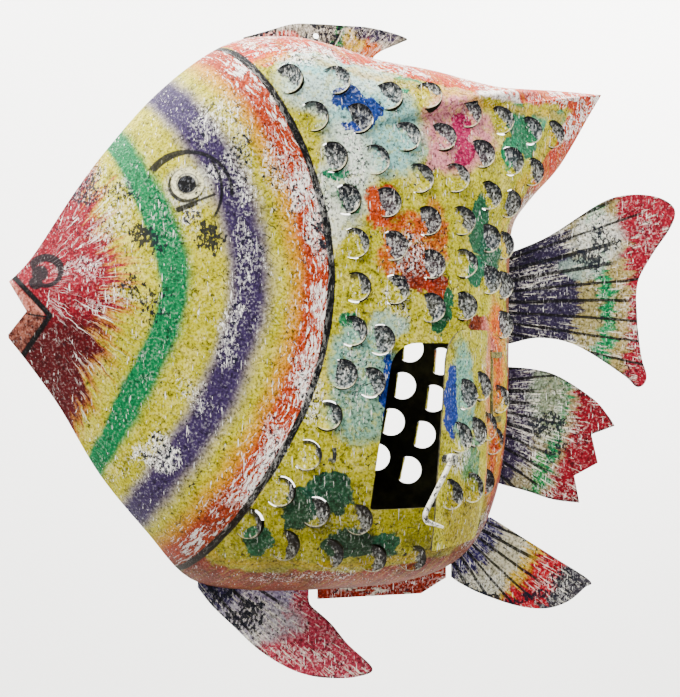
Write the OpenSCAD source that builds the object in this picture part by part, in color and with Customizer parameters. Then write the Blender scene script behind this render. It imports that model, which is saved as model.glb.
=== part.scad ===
// Hanging fish lantern made of two hammered sheet steel halves.
// The halves are punched with rows of raised scale flaps that let candle light out,
// and they carry five flat fins, a hinged candle door and a swinging hook latch.
// Frame: +Z up, head toward -X, door side toward -Y, seam of the halves in the plane Y = 0.
// The origin is the centre of the hanging hole in the dorsal fin.

/* [Body] */
// Length of the body, from the upper lip to the tip of the rear lobe
body_l = 408; // [380:1:440]
// Height of the body, from the belly to the back
body_h = 370; // [345:1:400]
// Depth of each half, from the seam to its crown
half_d = 62; // [54:1:70]
// Thickness of the body sheet
sheet = 1; // [0.8:0.1:1.2]
// Width that the folded sheet takes at the seam
rim_w = 1.6; // [1.2:0.1:2.4]
// Depth of the mouth notch behind the upper lip
mouth_l = 14; // [8:0.5:20]

/* [Scales] */
// Radius of the round edge of a scale
scale_r = 9; // [7:0.25:9.5]
// Distance from the mouth to the first row of scales
scale_start = 200; // [198:1:204]
// Distance between rows, measured along the skin
row_pitch = 25; // [24:0.5:27]
// Distance between scales in a row
scale_pitch = 27.4; // [26:0.2:30]
// Angle that the scales of the door side stand out by
near_raise = 22; // [12:1:24]
// Angle that the scales of the closed side stand out by
far_raise = 82; // [60:1:88]
// Width of the cut left open round a scale
kerf = 0.8; // [0.5:0.1:1.2]

/* [Fins] */
// Thickness of the fin sheet
fin_t = 1.2; // [1:0.1:1.6]
// Depth that a fin reaches in between the halves
tang = 7; // [5:0.5:9]
// Length of the tail fin
tail_l = 126; // [100:1:150]
// Height of the tail fin
tail_h = 137; // [120:1:145]
// Length of the anal fin
anal_l = 81; // [64:1:96]
// Height of the anal fin
anal_h = 96; // [90:1:100]
// Length of the dorsal fin
dorsal_l = 112; // [104:1:120]
// Height of the dorsal fin
dorsal_h = 22; // [19:0.5:26]
// Length of the front ventral fin
front_fin_l = 118; // [106:1:122]
// Height of the front ventral fin
front_fin_h = 65; // [56:1:76]
// Length of the rear ventral fin
rear_fin_l = 103; // [94:1:114]
// Height of the rear ventral fin
rear_fin_h = 65; // [58:1:72]
// Height of the strip under the belly seam
strip_h = 7; // [5:0.5:10]
// Radius of the hanging hole
hang_r = 2; // [1.5:0.25:2.5]

/* [Door] */
// Angle that the door stands ajar by
door_ajar = 35; // [0:1:60]
// Gap between the shell and the closed door
door_gap = 1.6; // [1.4:0.1:2]
// Width of the doorway at its top, up to the hinge
doorway_w = 70; // [64:1:71]
// Height of the doorway
doorway_h = 104; // [92:1:108]
// Width that the door laps over the free side of the doorway
side_lap = 2; // [1:0.5:3]
// Height that the door laps over the top of the doorway
top_lap = 8; // [6:0.5:9]
// Height that the door laps over the bottom of the doorway
bottom_lap = 19; // [10:0.5:20]
// Radius of the hinge wire
wire_r = 1.25; // [1:0.05:1.4]
// Running clearance round the hinge wire and the hook rivet
run_gap = 0.06; // [0.04:0.01:0.09]
// Length of the rolled sleeve on the door
sleeve_l = 38; // [28:1:39]

/* [Latch] */
// Length of the hook, from its rivet to its bend
hook_l = 42; // [40:0.5:46]
// Radius of the hook wire
hook_r = 1.5; // [1.2:0.05:1.6]
// Angle that the hook hangs below level
hook_drop = 48; // [20:1:80]
// Height of the hook above the shell
hook_lift = 8.4; // [8.2:0.1:9.5]

/* [Candle] */
// Radius of the candle that the cup takes
candle_r = 19.5; // [18:0.5:21]
// Height of the candle cup
cup_h = 15; // [10:0.5:18]

/* [Hidden] */
$fn = 48;
hull_fn = 32;

// Place of the origin as shares of the body's length and height
hang = [0.4926 * body_l, 1.0027 * body_h];

// Outline of the body as shares of its length and height, from the upper lip over the back
back_share = [[0, 0.545], [0.042, 0.595], [0.105, 0.705], [0.157, 0.785], [0.23, 0.88], [0.31, 0.955],
              [0.375, 0.99], [0.45, 0.997], [0.52, 0.985], [0.59, 0.965], [0.69, 0.95], [0.815, 0.925],
              [0.92, 0.927], [1, 0.924]];
// From the tip of the rear lobe down the rear and under the belly to the lower lip
belly_share = [[1, 0.924], [0.978, 0.885], [0.922, 0.785], [0.868, 0.72], [0.835, 0.665], [0.828, 0.57],
               [0.828, 0.455], [0.826, 0.335], [0.819, 0.25], [0.806, 0.175], [0.775, 0.095],
               [0.718, 0.038], [0.627, 0.011], [0.5, 0.005], [0.382, 0.01], [0.287, 0.035],
               [0.218, 0.12], [0.145, 0.222], [0.086, 0.335], [0.044, 0.403], [0.007, 0.457]];

// Upright spine of the crown, from which each half falls to the seam
spine_share = [0.466, 0.195, 0.795];
// Places of the rings of the skin, from the seam to the flat of the crown
ring_share = [1, 0.94, 0.86, 0.75, 0.6, 0.4, 0.18];

// How the skin falls away: a boxy body, a wedge of a head and a thin rear lobe
body_fall = [4, 0.75];
head_fall = [2.3, 1];
lobe_fall = [2, 1];
lobe_share = 0.83;

overrun = 4 * sheet;
seat_gap = 0.2 * sheet;

function lies(share) = [share[0] * body_l - hang[0], share[1] * body_h - hang[1]];
function ease(a, b, x) = let (t = min(1, max(0, (x - a) / (b - a)))) t * t * (3 - 2 * t);
function last(list) = list[len(list) - 1];
function cross2(a, b) = a[0] * b[1] - a[1] * b[0];

// Smooth curve through a list of points, with a number of steps on each span
function curve_point(a, b, c, d, t) = (2 * b + (c - a) * t + (2 * a - 5 * b + 4 * c - d) * pow(t, 2)
                                       + (3 * b - a - 3 * c + d) * pow(t, 3)) / 2;
function curve(pts, steps) = [
    for (i = [0 : len(pts) - 2], k = [0 : steps - 1])
        curve_point(pts[max(i - 1, 0)], pts[i], pts[i + 1], pts[min(i + 2, len(pts) - 1)], k / steps)
];

// Seam of the halves, the spine of their crown and the places that the head is drawn from
seam = let (back = [for (s = back_share) lies(s)], belly = [for (s = belly_share) lies(s)])
    concat(curve(back, 2), belly);
spine_x = lies(spine_share)[0];
spine_z = [lies([0, spine_share[1]])[1], lies([0, spine_share[2]])[1]];
nose_x = lies([0, 0])[0];
lobe_x = [lies([lobe_share, 0])[0], lies([1, 0])[0]];
mouth_z = lies([0, 0.5025])[1];
scale_centre = lies([0.03, 0.554]);

// Point of the spine that a place on the skin falls away from
function spine_at(z) = [spine_x, min(max(z, spine_z[0]), spine_z[1])];
function fall_at(rim) = body_fall + (head_fall - body_fall) * ease(spine_x, nose_x, rim[0])
                        + (lobe_fall - body_fall) * ease(lobe_x[0], lobe_x[1], rim[0]);
function rise(share, fall) = pow(1 - pow(share, fall[0]), fall[1]);

// How many times its own distance a ray from the spine runs on to the seam
function reach(from, way) = max([
    for (i = [0 : len(seam) - 1])
        let (a = seam[i] - from, edge = seam[(i + 1) % len(seam)] - seam[i], den = cross2(way, edge))
        if (abs(den) > 0)
            let (t = cross2(a, edge) / den, s = cross2(a, way) / den)
            if (t > 0 && s >= 0 && s <= 1) t
]);
// Depth of the skin behind a place [x, z] inside the seam, straight from ring to ring as it is built
function depth_at(p) =
    let (from = spine_at(p[1]), way = p - from, far = norm(way) > 0 ? reach(from, way) : 1 / last(ring_share),
         fall = fall_at(from + way * far))
    far > 1 ? half_d * lookup(1 / far, [for (share = ring_share) [share, rise(share, fall)]]) : 0;

// One ring of the skin, grown outward by a distance
function skin_ring(share, grow) = [
    for (rim = seam)
        let (from = spine_at(rim[1]), way = rim - from, p = from + way * share * (1 + grow / norm(way)),
             fall = share > last(ring_share) ? fall_at(rim) : body_fall)
        [p[0], -(half_d + grow) * rise(share, fall), p[1]]
];
function skin_rings(grow, rim_grow) = [
    for (share = ring_share) each skin_ring(share, share < 1 ? grow : rim_grow)
];

// Triangles between one ring and the next, wound outward or, for an inner face, inward
function ring_faces(start, inward) = let (n = len(seam)) [
    for (r = [0 : len(ring_share) - 2], i = [0 : n - 1])
        let (a = start + r * n + i, b = start + r * n + (i + 1) % n)
        each inward ? [[a, b + n, b], [a, a + n, b + n]] : [[a, b, b + n], [a, b + n, a + n]]
];
function cap_face(start, inward) = let (n = len(seam), top = start + (len(ring_share) - 1) * n)
    [for (i = [0 : n - 1]) top + (inward ? n - 1 - i : i)];

// Sheet of the door side, between two distances from its outer face
module skin(inner, outer) {
    n = len(seam);
    below = len(ring_share) * n;
    rim = [for (i = [0 : n - 1]) let (j = (i + 1) % n) each [[i, below + i, below + j], [i, below + j, j]]];
    polyhedron(concat(skin_rings(outer, outer), skin_rings(inner, inner - rim_w + sheet)),
               concat(ring_faces(0, false), ring_faces(below, true),
                      [cap_face(0, false), cap_face(below, true)], rim));
}
// Everything between the seam and the inner face of the door side, less a seat gap
module hollow() {
    base = [for (i = [0 : len(seam) - 1]) len(seam) - 1 - i];
    polyhedron(skin_rings(-sheet - seat_gap, -rim_w - seat_gap),
               concat(ring_faces(0, false), [cap_face(0, false), base]));
}

// Slope of the skin toward the tail and upward
function slope_at(p) = let (d = 2 * sheet, x = [d, 0], z = [0, d])
    [(depth_at(p + x) - depth_at(p - x)) / (2 * d), (depth_at(p + z) - depth_at(p - z)) / (2 * d)];
// Frame on the skin: X toward the tail and turned by an angle, Y up the skin, Z straight out
module on_skin(p, turn, lift = 0) {
    slope = slope_at(p);
    out = -[slope[0], 1, slope[1]] / norm([slope[0], 1, slope[1]]);
    way = [cos(turn), -slope * [cos(turn), sin(turn)], sin(turn)];
    along = way / norm(way);
    up = cross(out, along);
    place = [p[0], -depth_at(p), p[1]] + out * lift;
    multmatrix([for (i = [0 : 2]) [along[i], up[i], out[i], place[i]]]) children();
}

// Outline of a scale: a round edge toward the tail and a straight root toward the head
root_angle = 120;
scale_steps = 5;
root_x = scale_r * cos(root_angle);
root_sink = 0.25 * sheet;
module scale_outline(r) polygon([
    for (i = [0 : scale_steps]) let (a = root_angle * (2 * i / scale_steps - 1)) r * [cos(a), sin(a)]
]);
// Cut round a scale, through the sheet
module scale_cut() {
    grow = (scale_r + kerf) / scale_r;
    translate([root_x * (1 - grow), 0, -overrun]) linear_extrude(2 * overrun) scale_outline(scale_r * grow);
}
// Flap of a scale, bent up at its root, where it runs on into the sheet
module scale_flap(raise) translate([root_x - root_sink, 0, root_sink - sheet]) rotate([0, -raise, 0])
    hull() translate([-root_x, 0, 0]) linear_extrude(sheet) scale_outline(scale_r);

// Rows of scales run round the mouth. Each run has its row, its first angle and its count, and a
// run set closer to the mouth than its row takes part of a row.
near_runs = [[0, 38, 12], [1, 33.5, 6], [0.75, -9.7, 2], [1, -39.5, 2], [2, 27.6, 6], [2, -36.5, 2],
             [3, 25.4, 6], [3, -39.4, 1], [4, 21.5, 5], [4, -36.3, 1], [5, 19.5, 6], [5, -14, 4],
             [6, 17.5, 2], [7, 16.5, 1]];
far_runs = [[0, 38, 12], [1, 33.5, 12], [2, 27.6, 11], [3, 25.4, 11], [4, 21.5, 10], [5, 19.5, 9],
            [6, 17.5, 2], [7, 16.5, 1]];
function scale_place(radius, angle) = scale_centre + radius * [cos(angle), sin(angle)];
// Radius of a row where it crosses an angle: rows keep their distance along the sloping skin
function row_radius(row, angle) = row <= 0 ? scale_start :
    let (step = row_pitch * min(row, 1), near_r = row_radius(row - 1, angle) + step / 2,
         drop = depth_at(scale_place(near_r, angle)) - depth_at(scale_place(near_r + step / 2, angle)))
    near_r - step / 2 + step * cos(atan(2 * drop / step));
// Places and turns of the scales of some runs
function run_scales(runs) = [
    for (run = runs)
        let (step = scale_pitch / row_radius(run[0], run[1]) * 180 / PI)
        for (i = [0 : run[2] - 1])
            let (a = run[1] - i * step) [scale_place(row_radius(run[0], a), a), a / 2]
];

// Hinge line, doorway and door, as they lie with the door closed
sleeve_wall = 0.9;
sleeve_r = wire_r + run_gap + sleeve_wall;
hinge_rise = 3.4;
hinge = let (p = lies([0.7525, 0.3703])) [p[0], -depth_at(p) - hinge_rise, p[1]];
loop_h = 4;
loop_gap = 0.3;
loop_lift = (sleeve_l + loop_h) / 2 + loop_gap;
strap_l = 14;
strap_lap = 2;
way_top = lies([0, 0.4486])[1];
way_low = way_top - doorway_h;
way_tail_x = hinge[0] - sleeve_r - seat_gap;
way_head_x = way_tail_x - doorway_w;
// Rounding of the upper free corner, of the hinge corners and of the sharp corners
way_round = 18;
hinge_round = 8;
small_round = 2;
// Lean of the free side, length of the upright hinge side and slant of its lower end
way_lean = 13;
upright_l = 51;
slant = 21;
module door_shape(side, top, low) hull() {
    $fn = hull_fn;
    r = way_round + top / 2;
    translate([way_head_x - side + r, way_top + top - r]) circle(r);
    translate([way_tail_x - hinge_round, way_top + top - hinge_round]) circle(hinge_round);
    translate([way_tail_x - small_round, way_top - upright_l]) circle(small_round);
    translate([way_tail_x - slant + side - hinge_round, way_low - low + hinge_round]) circle(hinge_round);
    translate([way_head_x - way_lean - side + small_round, way_low - low + small_round]) circle(small_round);
}
// Places of the scales on the door, as shares of the doorway's width and height
door_scale_share = [[0.26, 0.7], [0.565, 0.74], [0.155, 0.45], [0.45, 0.47], [0.755, 0.49],
                    [0.02, 0.125], [0.375, 0.145]];
door_scales = [for (s = door_scale_share)
    let (p = [way_head_x + s[0] * doorway_w, way_low + s[1] * doorway_h])
    [p, atan((p[1] - scale_centre[1]) / (p[0] - scale_centre[0])) / 2]];

// Free edge of the closed door at a height, and the rivet that the hook turns on
rivet_inset = 5;
rivet_share = 0.336;
rivet_z = way_low + rivet_share * doorway_h;
door_free_x = let (top = way_top + top_lap - way_round, low = way_low - bottom_lap + small_round)
    way_head_x - side_lap - way_lean * (top - rivet_z) / (top - low);
rivet = [door_free_x + rivet_inset, -depth_at([door_free_x + rivet_inset, rivet_z]), rivet_z];
rivet_r = 1.2;
rivet_head_r = 2.6;
eye_r = 3.4;
bend_r = 4;
prong_l = 15;
prong_turn = 115;
// The peg stands up in the crook of the latched hook
peg_r = 1.2;
peg_play = 3;
peg_hold = 7;
peg_rise = 0.3;
hole_gap = 0.2;
peg = let (x = rivet[0] - hook_l + bend_r + peg_play, z = rivet_z - hook_r - peg_rise - peg_r)
    [x, -depth_at([x, z]), z];

// Scales of the door side keep clear of the closed door and of the peg,
function from_door(p) = max(way_head_x - side_lap - way_lean * max(0, way_top - p[1]) / doorway_h - p[0],
                            p[0] - way_tail_x - (p[1] < way_top - upright_l ? slant
                                * min(1, (p[1] - way_top + upright_l) / (doorway_h - upright_l)) : 0),
                            p[1] - way_top - top_lap, way_low - bottom_lap - p[1]);
// and of the straps of the hinge loops
function from_straps(p) = abs(p[0] - hinge[0] - strap_l / 2) > strap_l / 2 + scale_r + kerf ? body_l
    : abs(abs(p[1] - hinge[2]) - loop_lift) - loop_h / 2;
// Scales of both sides keep to the sheet inside the rim
function in_sheet(p) = let (r = scale_r + kerf + rim_w)
    min([for (a = [0 : 45 : 315]) depth_at(p + r * [cos(a), sin(a)])]) > 0;
far_scales = [for (s = run_scales(far_runs)) if (in_sheet(s[0])) s];
near_scales = [for (s = run_scales(near_runs))
    if (in_sheet(s[0]) && from_door(s[0]) > scale_r / 2 && from_straps(s[0]) > scale_r + kerf
        && norm(s[0] - [peg[0], peg[2]]) > scale_r + peg_r) s];

// Outlines of the fins as shares of their own sizes, from their lower left corner
function sized(shares, corner, size) = [for (s = shares) corner + [s[0] * size[0], s[1] * size[1]]];
tail_share = [[0, 0.686], [0.23, 0.775], [0.55, 0.955], [0.73, 1], [0.9, 0.99], [1, 0.93], [0.97, 0.83],
              [0.855, 0.685], [0.77, 0.54], [0.765, 0.36], [0.79, 0.17], [0.825, 0.05], [0.77, 0],
              [0.68, 0.065], [0.4, 0.215], [0.18, 0.255], [0, 0.226]];
anal_share = [[[0, 1], [0.25, 0.98], [0.48, 0.925], [0.8, 0.76], [0.93, 0.645], [1, 0.56]],
              [[0.778, 0.5], [0.84, 0.29], [0.617, 0.2], [0.667, 0]],
              [[0.667, 0], [0.42, 0.03], [0.185, 0.095], [-0.037, 0.147], [-0.1, 0.167]]];
dorsal_share = [[0, 0.455], [0.134, 0.68], [0.295, 0.95], [0.44, 1], [0.6, 1], [0.74, 1], [0.875, 0.91],
                [1, 0.73], [0.964, 0.59], [0.85, 0.32], [0.8, 0.136], [0.786, 0]];
front_share = [[0, 1], [0.076, 0.815], [0.21, 0.57], [0.34, 0.34], [0.49, 0.154], [0.627, 0.046],
               [0.77, 0], [0.907, 0], [1, 0.077], [0.856, 0.34], [0.754, 0.57], [0.644, 0.754],
               [0.627, 0.83]];
rear_share = [[0.28, 1], [0.466, 0.815], [0.728, 0.554], [1, 0.277], [0.96, 0.2], [0.835, 0.06],
              [0.67, 0], [0.466, 0.046], [0.223, 0.185], [0.068, 0.31], [0, 0.385]];
strip_share = [0.495, 0.716, 0.672];

// Each fin's outline ends in its tang, which reaches in past the seam
tail_outline = let (corner = lies([0.831, 0.365])) concat(
    curve(sized(tail_share, corner, [tail_l, tail_h]), 3),
    sized([[0, 0.226]], corner, [tail_l, tail_h]),
    [for (s = [0.226, 0.686]) corner + [-tang, s * tail_h]]);
anal_outline = let (corner = lies([0.826, 0.146]), size = [anal_l, anal_h]) concat(
    curve(sized(anal_share[0], corner, size), 3), sized([last(anal_share[0])], corner, size),
    sized(anal_share[1], corner, size), curve(sized(anal_share[2], corner, size), 2),
    sized([last(anal_share[2])], corner, size),
    [for (s = [anal_share[2][4], anal_share[0][0]]) corner + [s[0] * anal_l - tang, s[1] * anal_h]]);
dorsal_outline = let (corner = [-0.4375 * dorsal_l, -0.636 * dorsal_h], size = [dorsal_l, dorsal_h]) concat(
    curve(sized(dorsal_share, corner, size), 3), sized([last(dorsal_share)], corner, size),
    [for (s = [last(dorsal_share), dorsal_share[0]]) corner + [s[0] * dorsal_l, s[1] * dorsal_h - tang]]);
front_fin_outline = let (corner = [lies([0.299, 0])[0], lies([0, 0.0189])[1] - front_fin_h],
                         size = [front_fin_l, front_fin_h]) concat(
    curve(sized(front_share, corner, size), 3), sized([last(front_share)], corner, size),
    [corner + [0.627 * front_fin_l, 0.9 * front_fin_h + tang], corner + [0, front_fin_h + tang]]);
rear_fin_outline = let (corner = [lies([0.7255, 0])[0], lies([0, 0.1243])[1] - rear_fin_h],
                        size = [rear_fin_l, rear_fin_h]) concat(
    curve(sized(rear_share, corner, size), 3), sized([last(rear_share)], corner, size),
    [corner + [0, 0.48 * rear_fin_h + tang], corner + [0.28 * rear_fin_l - tang, rear_fin_h]]);
strip_outline = let (a = lies([strip_share[0], 0.007]), b = lies([strip_share[1], 0.035]),
                     c = lies([strip_share[2], 0.008]))
    [a + [0, tang], a - [0, strip_h], c - [0, strip_h], b - [0, strip_h], b, c + [0, 2 * tang]];

module plate(outline, thick = fin_t) rotate([90, 0, 0]) translate([0, 0, -thick / 2])
    linear_extrude(thick) polygon(outline);
module fin_slots() for (outline = [tail_outline, anal_outline, dorsal_outline, front_fin_outline,
                                   rear_fin_outline, strip_outline])
    plate(outline, fin_t + seat_gap);

// Notch of the mouth, cut right through both halves
mouth_h = 60;
module mouth_notch() rotate([90, 0, 0]) translate([0, 0, -half_d]) linear_extrude(2 * half_d) polygon([
    [nose_x + mouth_l, mouth_z],
    [nose_x - mouth_l, mouth_z + mouth_h * 0.8],
    [nose_x - mouth_l, mouth_z - mouth_h * 0.6]
]);

module near_shell() color("khaki") {
    difference() {
        skin(-sheet, 0);
        fin_slots();
        mouth_notch();
        rotate([90, 0, 0]) linear_extrude(2 * half_d) door_shape(0, 0, 0);
        translate(peg) rotate([90, 0, 0]) cylinder(h = 2 * overrun, r = peg_r + hole_gap, center = true);
        for (s = near_scales) on_skin(s[0], s[1]) scale_cut();
    }
    for (s = near_scales) on_skin(s[0], s[1]) scale_flap(near_raise);
}

module far_shell() color("goldenrod") mirror([0, 1, 0]) {
    difference() {
        skin(-sheet, 0);
        fin_slots();
        mouth_notch();
        for (s = far_scales) on_skin(s[0], s[1]) scale_cut();
    }
    for (s = far_scales) on_skin(s[0], s[1]) scale_flap(far_raise);
}

module tail_fin() color("crimson") plate(tail_outline);
module anal_fin() color("mediumorchid") plate(anal_outline);
module dorsal_fin() color("slategray") difference() {
    plate(dorsal_outline);
    rotate([90, 0, 0]) cylinder(h = 2 * overrun, r = hang_r, center = true);
}
module front_ventral_fin() color("palevioletred") plate(front_fin_outline);
module rear_ventral_fin() color("mediumpurple") plate(rear_fin_outline);
module belly_strip() color("orangered") plate(strip_outline);

// Shelf for the candle, seated between the halves below the doorway
floor_z = lies([0, 0.057])[1];
floor_l = 74;
cup_x = lies([0.634, 0])[0];
cup_wall = 0.8;
cup_play = 0.5;
module candle_floor() color("dimgray") intersection() {
    translate([cup_x - floor_l / 2, -half_d, floor_z - sheet]) cube([floor_l, 2 * half_d, sheet]);
    union() {
        hollow();
        mirror([0, 1, 0]) hollow();
    }
}
module candle_cup() color("silver") translate([cup_x, 0, floor_z]) difference() {
    cylinder(h = cup_h, r = candle_r + cup_play + cup_wall);
    translate([0, 0, cup_wall]) cylinder(h = cup_h, r = candle_r + cup_play);
}

// Hinge: a wire held by two loops on the shell and turned on by a sleeve on the door
module hinge_loop(lift) color("darkgoldenrod") translate(hinge + [0, 0, lift]) difference() {
    union() {
        cylinder(h = loop_h, r = sleeve_r, center = true);
        intersection() {
            translate(-hinge - [0, 0, lift]) skin(seat_gap, seat_gap + sheet);
            translate([-strap_lap, -half_d, -loop_h / 2]) cube([strap_l + strap_lap, 2 * half_d, loop_h]);
        }
    }
    cylinder(h = loop_h + overrun, r = wire_r + run_gap, center = true);
}
module upper_hinge_loop() hinge_loop(loop_lift);
module lower_hinge_loop() hinge_loop(-loop_lift);
wire_end = 1;
module hinge_wire() color("gray") translate(hinge) {
    cylinder(h = 2 * (loop_lift + wire_end) + loop_h, r = wire_r, center = true);
    for (end = [-1, 1]) translate([0, 0, end * (loop_lift + loop_h / 2 + loop_gap + wire_end / 2)])
        cylinder(h = wire_end, r = sleeve_r, center = true);
}

// The door and all that it carries swing together about the hinge line
module ajar() translate(hinge) rotate([0, 0, door_ajar]) translate(-hinge) children();
module door_panel() color("darkseagreen") ajar() {
    difference() {
        intersection() {
            skin(door_gap, door_gap + sheet);
            rotate([90, 0, 0]) linear_extrude(2 * half_d) door_shape(side_lap, top_lap, bottom_lap);
        }
        translate(rivet) rotate([90, 0, 0]) cylinder(h = 2 * overrun, r = rivet_r + hole_gap, center = true);
        for (s = door_scales) on_skin(s[0], s[1], door_gap + sheet) scale_cut();
    }
    for (s = door_scales) on_skin(s[0], s[1], door_gap + sheet) scale_flap(near_raise);
}
leaf_l = 12;
module door_hinge_sleeve() color("darkolivegreen") ajar() translate(hinge) difference() {
    union() {
        cylinder(h = sleeve_l, r = sleeve_r, center = true);
        intersection() {
            translate(-hinge) skin(door_gap - seat_gap - sheet, door_gap - seat_gap);
            translate([-leaf_l, -half_d, -sleeve_l / 2]) cube([leaf_l - wire_r, 2 * half_d, sleeve_l]);
        }
    }
    cylinder(h = sleeve_l + overrun, r = wire_r + run_gap, center = true);
}

// Rivet and hook lie flat against the closed door, with the hook turned down by its drop
collar = hook_lift - hook_r - loop_gap;
rivet_seat = door_gap + sheet + seat_gap;
rivet_top = hook_lift + hook_r + loop_gap;
module on_rivet(lift) ajar() translate(rivet) rotate([90, 0, 0]) translate([0, 0, lift]) children();
module hook_rivet() color("gray") {
    on_rivet(door_gap - sheet / 2) cylinder(h = rivet_top - door_gap + sheet / 2, r = rivet_r);
    on_rivet(rivet_seat) cylinder(h = collar - rivet_seat, r = rivet_head_r);
    on_rivet(rivet_top) cylinder(h = sheet, r = rivet_head_r);
}
module latch_hook() color("tan") on_rivet(hook_lift) rotate([0, 0, hook_drop]) difference() {
    union() {
        cylinder(h = 2 * hook_r, r = eye_r, center = true);
        rotate([0, -90, 0]) cylinder(h = hook_l - bend_r, r = hook_r);
        translate([bend_r - hook_l, -bend_r, 0]) {
            rotate([0, 0, 90]) rotate_extrude(angle = prong_turn) translate([bend_r, 0]) circle(hook_r);
            rotate([0, 0, 90 + prong_turn]) translate([bend_r, 0, 0]) rotate([-90, 0, 0])
                cylinder(h = prong_l, r1 = hook_r, r2 = hook_r / 2);
        }
    }
    cylinder(h = overrun + 2 * hook_r, r = rivet_r + run_gap, center = true);
}

// Peg: out from the shell, then up in front of the latched hook
peg_reach = hook_lift + hook_r + peg_rise + peg_r;
module catch_peg() color("dimgray") translate(peg) rotate([90, 0, 0]) {
    translate([0, 0, -sheet - seat_gap - sheet]) cylinder(h = sheet, r = rivet_head_r);
    translate([0, 0, -2 * sheet]) cylinder(h = peg_reach - 2 * peg_r + 2 * sheet, r = peg_r);
    translate([0, 2 * peg_r, peg_reach - 2 * peg_r]) {
        rotate([0, -90, 0]) rotate([0, 0, -90])
            rotate_extrude(angle = 90) translate([2 * peg_r, 0]) circle(peg_r);
        translate([0, 0, 2 * peg_r]) rotate([-90, 0, 0]) cylinder(h = peg_hold - peg_r, r = peg_r);
    }
}

near_shell();
far_shell();
dorsal_fin();
tail_fin();
anal_fin();
front_ventral_fin();
rear_ventral_fin();
belly_strip();
candle_floor();
candle_cup();
upper_hinge_loop();
lower_hinge_loop();
hinge_wire();
catch_peg();
door_panel();
door_hinge_sleeve();
hook_rivet();
latch_hook();
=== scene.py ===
# Hanging fish lantern: two painted sheet-steel halves with raised scales, fins, a candle door and a hook
import bpy
import math
import numpy as np
from mathutils import Matrix, Vector, noise
from mathutils.geometry import delaunay_2d_cdt, tessellate_polygon


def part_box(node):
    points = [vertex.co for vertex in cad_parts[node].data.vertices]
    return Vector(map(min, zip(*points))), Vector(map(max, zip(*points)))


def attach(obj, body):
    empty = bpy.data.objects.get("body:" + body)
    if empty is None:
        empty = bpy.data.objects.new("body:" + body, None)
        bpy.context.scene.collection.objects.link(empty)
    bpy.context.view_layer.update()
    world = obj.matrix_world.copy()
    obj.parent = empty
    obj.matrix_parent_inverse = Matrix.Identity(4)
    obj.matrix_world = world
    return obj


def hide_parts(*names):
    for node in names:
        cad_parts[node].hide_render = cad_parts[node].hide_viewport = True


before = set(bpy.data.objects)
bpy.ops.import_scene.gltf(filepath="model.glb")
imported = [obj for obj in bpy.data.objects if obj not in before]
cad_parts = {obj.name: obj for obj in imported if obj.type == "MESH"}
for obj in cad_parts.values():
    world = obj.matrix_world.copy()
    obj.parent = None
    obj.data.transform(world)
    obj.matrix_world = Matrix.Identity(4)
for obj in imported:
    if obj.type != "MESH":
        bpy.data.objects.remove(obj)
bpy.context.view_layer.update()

mm = 0.001


# Shader and geometry trees

class Wire:
    # one output of a node: sums and products on it add Math nodes
    def __init__(self, board, socket):
        self.board, self.socket = board, socket

    def reckon(self, operation, first, second=0.0):
        return self.board.node(self.board.mathKind, dict(operation=operation), {0: first, 1: second})

    def __add__(self, other): return self.reckon("ADD", self, other)
    def __radd__(self, other): return self.reckon("ADD", other, self)
    def __sub__(self, other): return self.reckon("SUBTRACT", self, other)
    def __rsub__(self, other): return self.reckon("SUBTRACT", other, self)
    def __mul__(self, other): return self.reckon("MULTIPLY", self, other)
    def __rmul__(self, other): return self.reckon("MULTIPLY", other, self)
    def __truediv__(self, other): return self.reckon("DIVIDE", self, other)
    def __pow__(self, other): return self.reckon("POWER", self, other)
    def __abs__(self): return self.reckon("ABSOLUTE", self)


class Board:
    # a node tree that is filled by expressions
    mathKind = "ShaderNodeMath"

    def __init__(self, tree):
        self.tree = tree

    def node(self, kind, settings=None, sockets=None, out=0):
        made = self.tree.nodes.new(kind)
        for key, value in (settings or {}).items():
            setattr(made, key, value)
        for key, value in (sockets or {}).items():
            if isinstance(value, Wire):
                self.tree.links.new(value.socket, made.inputs[key])
            else:
                made.inputs[key].default_value = value
        return Wire(self, made.outputs[out])

    def mix(self, share, first, second):
        return self.node("ShaderNodeMix", dict(data_type="RGBA"), {0: share, 6: first, 7: second}, out=2)

    def grain(self, place, scale, detail=3.0, roughness=0.55, out=0, twist=0.0):
        return self.node("ShaderNodeTexNoise", None,
                         {"Vector": place, "Scale": scale, "Detail": detail, "Roughness": roughness,
                          "Distortion": twist}, out=out)

    def split(self, vector):
        made = self.tree.nodes.new("ShaderNodeSeparateXYZ")
        self.tree.links.new(vector.socket, made.inputs[0])
        return [Wire(self, made.outputs[i]) for i in range(3)]

    def join(self, x, y, z):
        return self.node("ShaderNodeCombineXYZ", None, {0: x, 1: y, 2: z})

    def mapped(self, place, turn=(0, 0, 0), scale=(1, 1, 1), shift=(0, 0, 0)):
        return self.node("ShaderNodeMapping", None,
                         {"Vector": place, "Location": shift, "Rotation": turn, "Scale": scale})

    def here(self):
        return self.node("ShaderNodeTexCoord", None, None, out="Object")

    def held(self, name, out=2):
        return self.node("ShaderNodeAttribute", dict(attribute_name=name), None, out=out)


def step(value, low, high):
    # smooth rise from 0 to 1 between two levels, which may also be given the other way round
    return value.board.node("ShaderNodeMapRange", dict(interpolation_type="SMOOTHSTEP"),
                            {"Value": value, "From Min": low, "From Max": high})


def band(value, low, high, soft):
    return step(value, low - soft, low + soft) * (1 - step(value, high - soft, high + soft))


def larger(first, second):
    return first.reckon("MAXIMUM", first, second)


def hue(code):
    parts = [int(code[i:i + 2], 16) / 255 for i in (0, 2, 4)]
    return tuple(((c + 0.055) / 1.055) ** 2.4 if c > 0.04045 else c / 12.92 for c in parts) + (1.0,)


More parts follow.
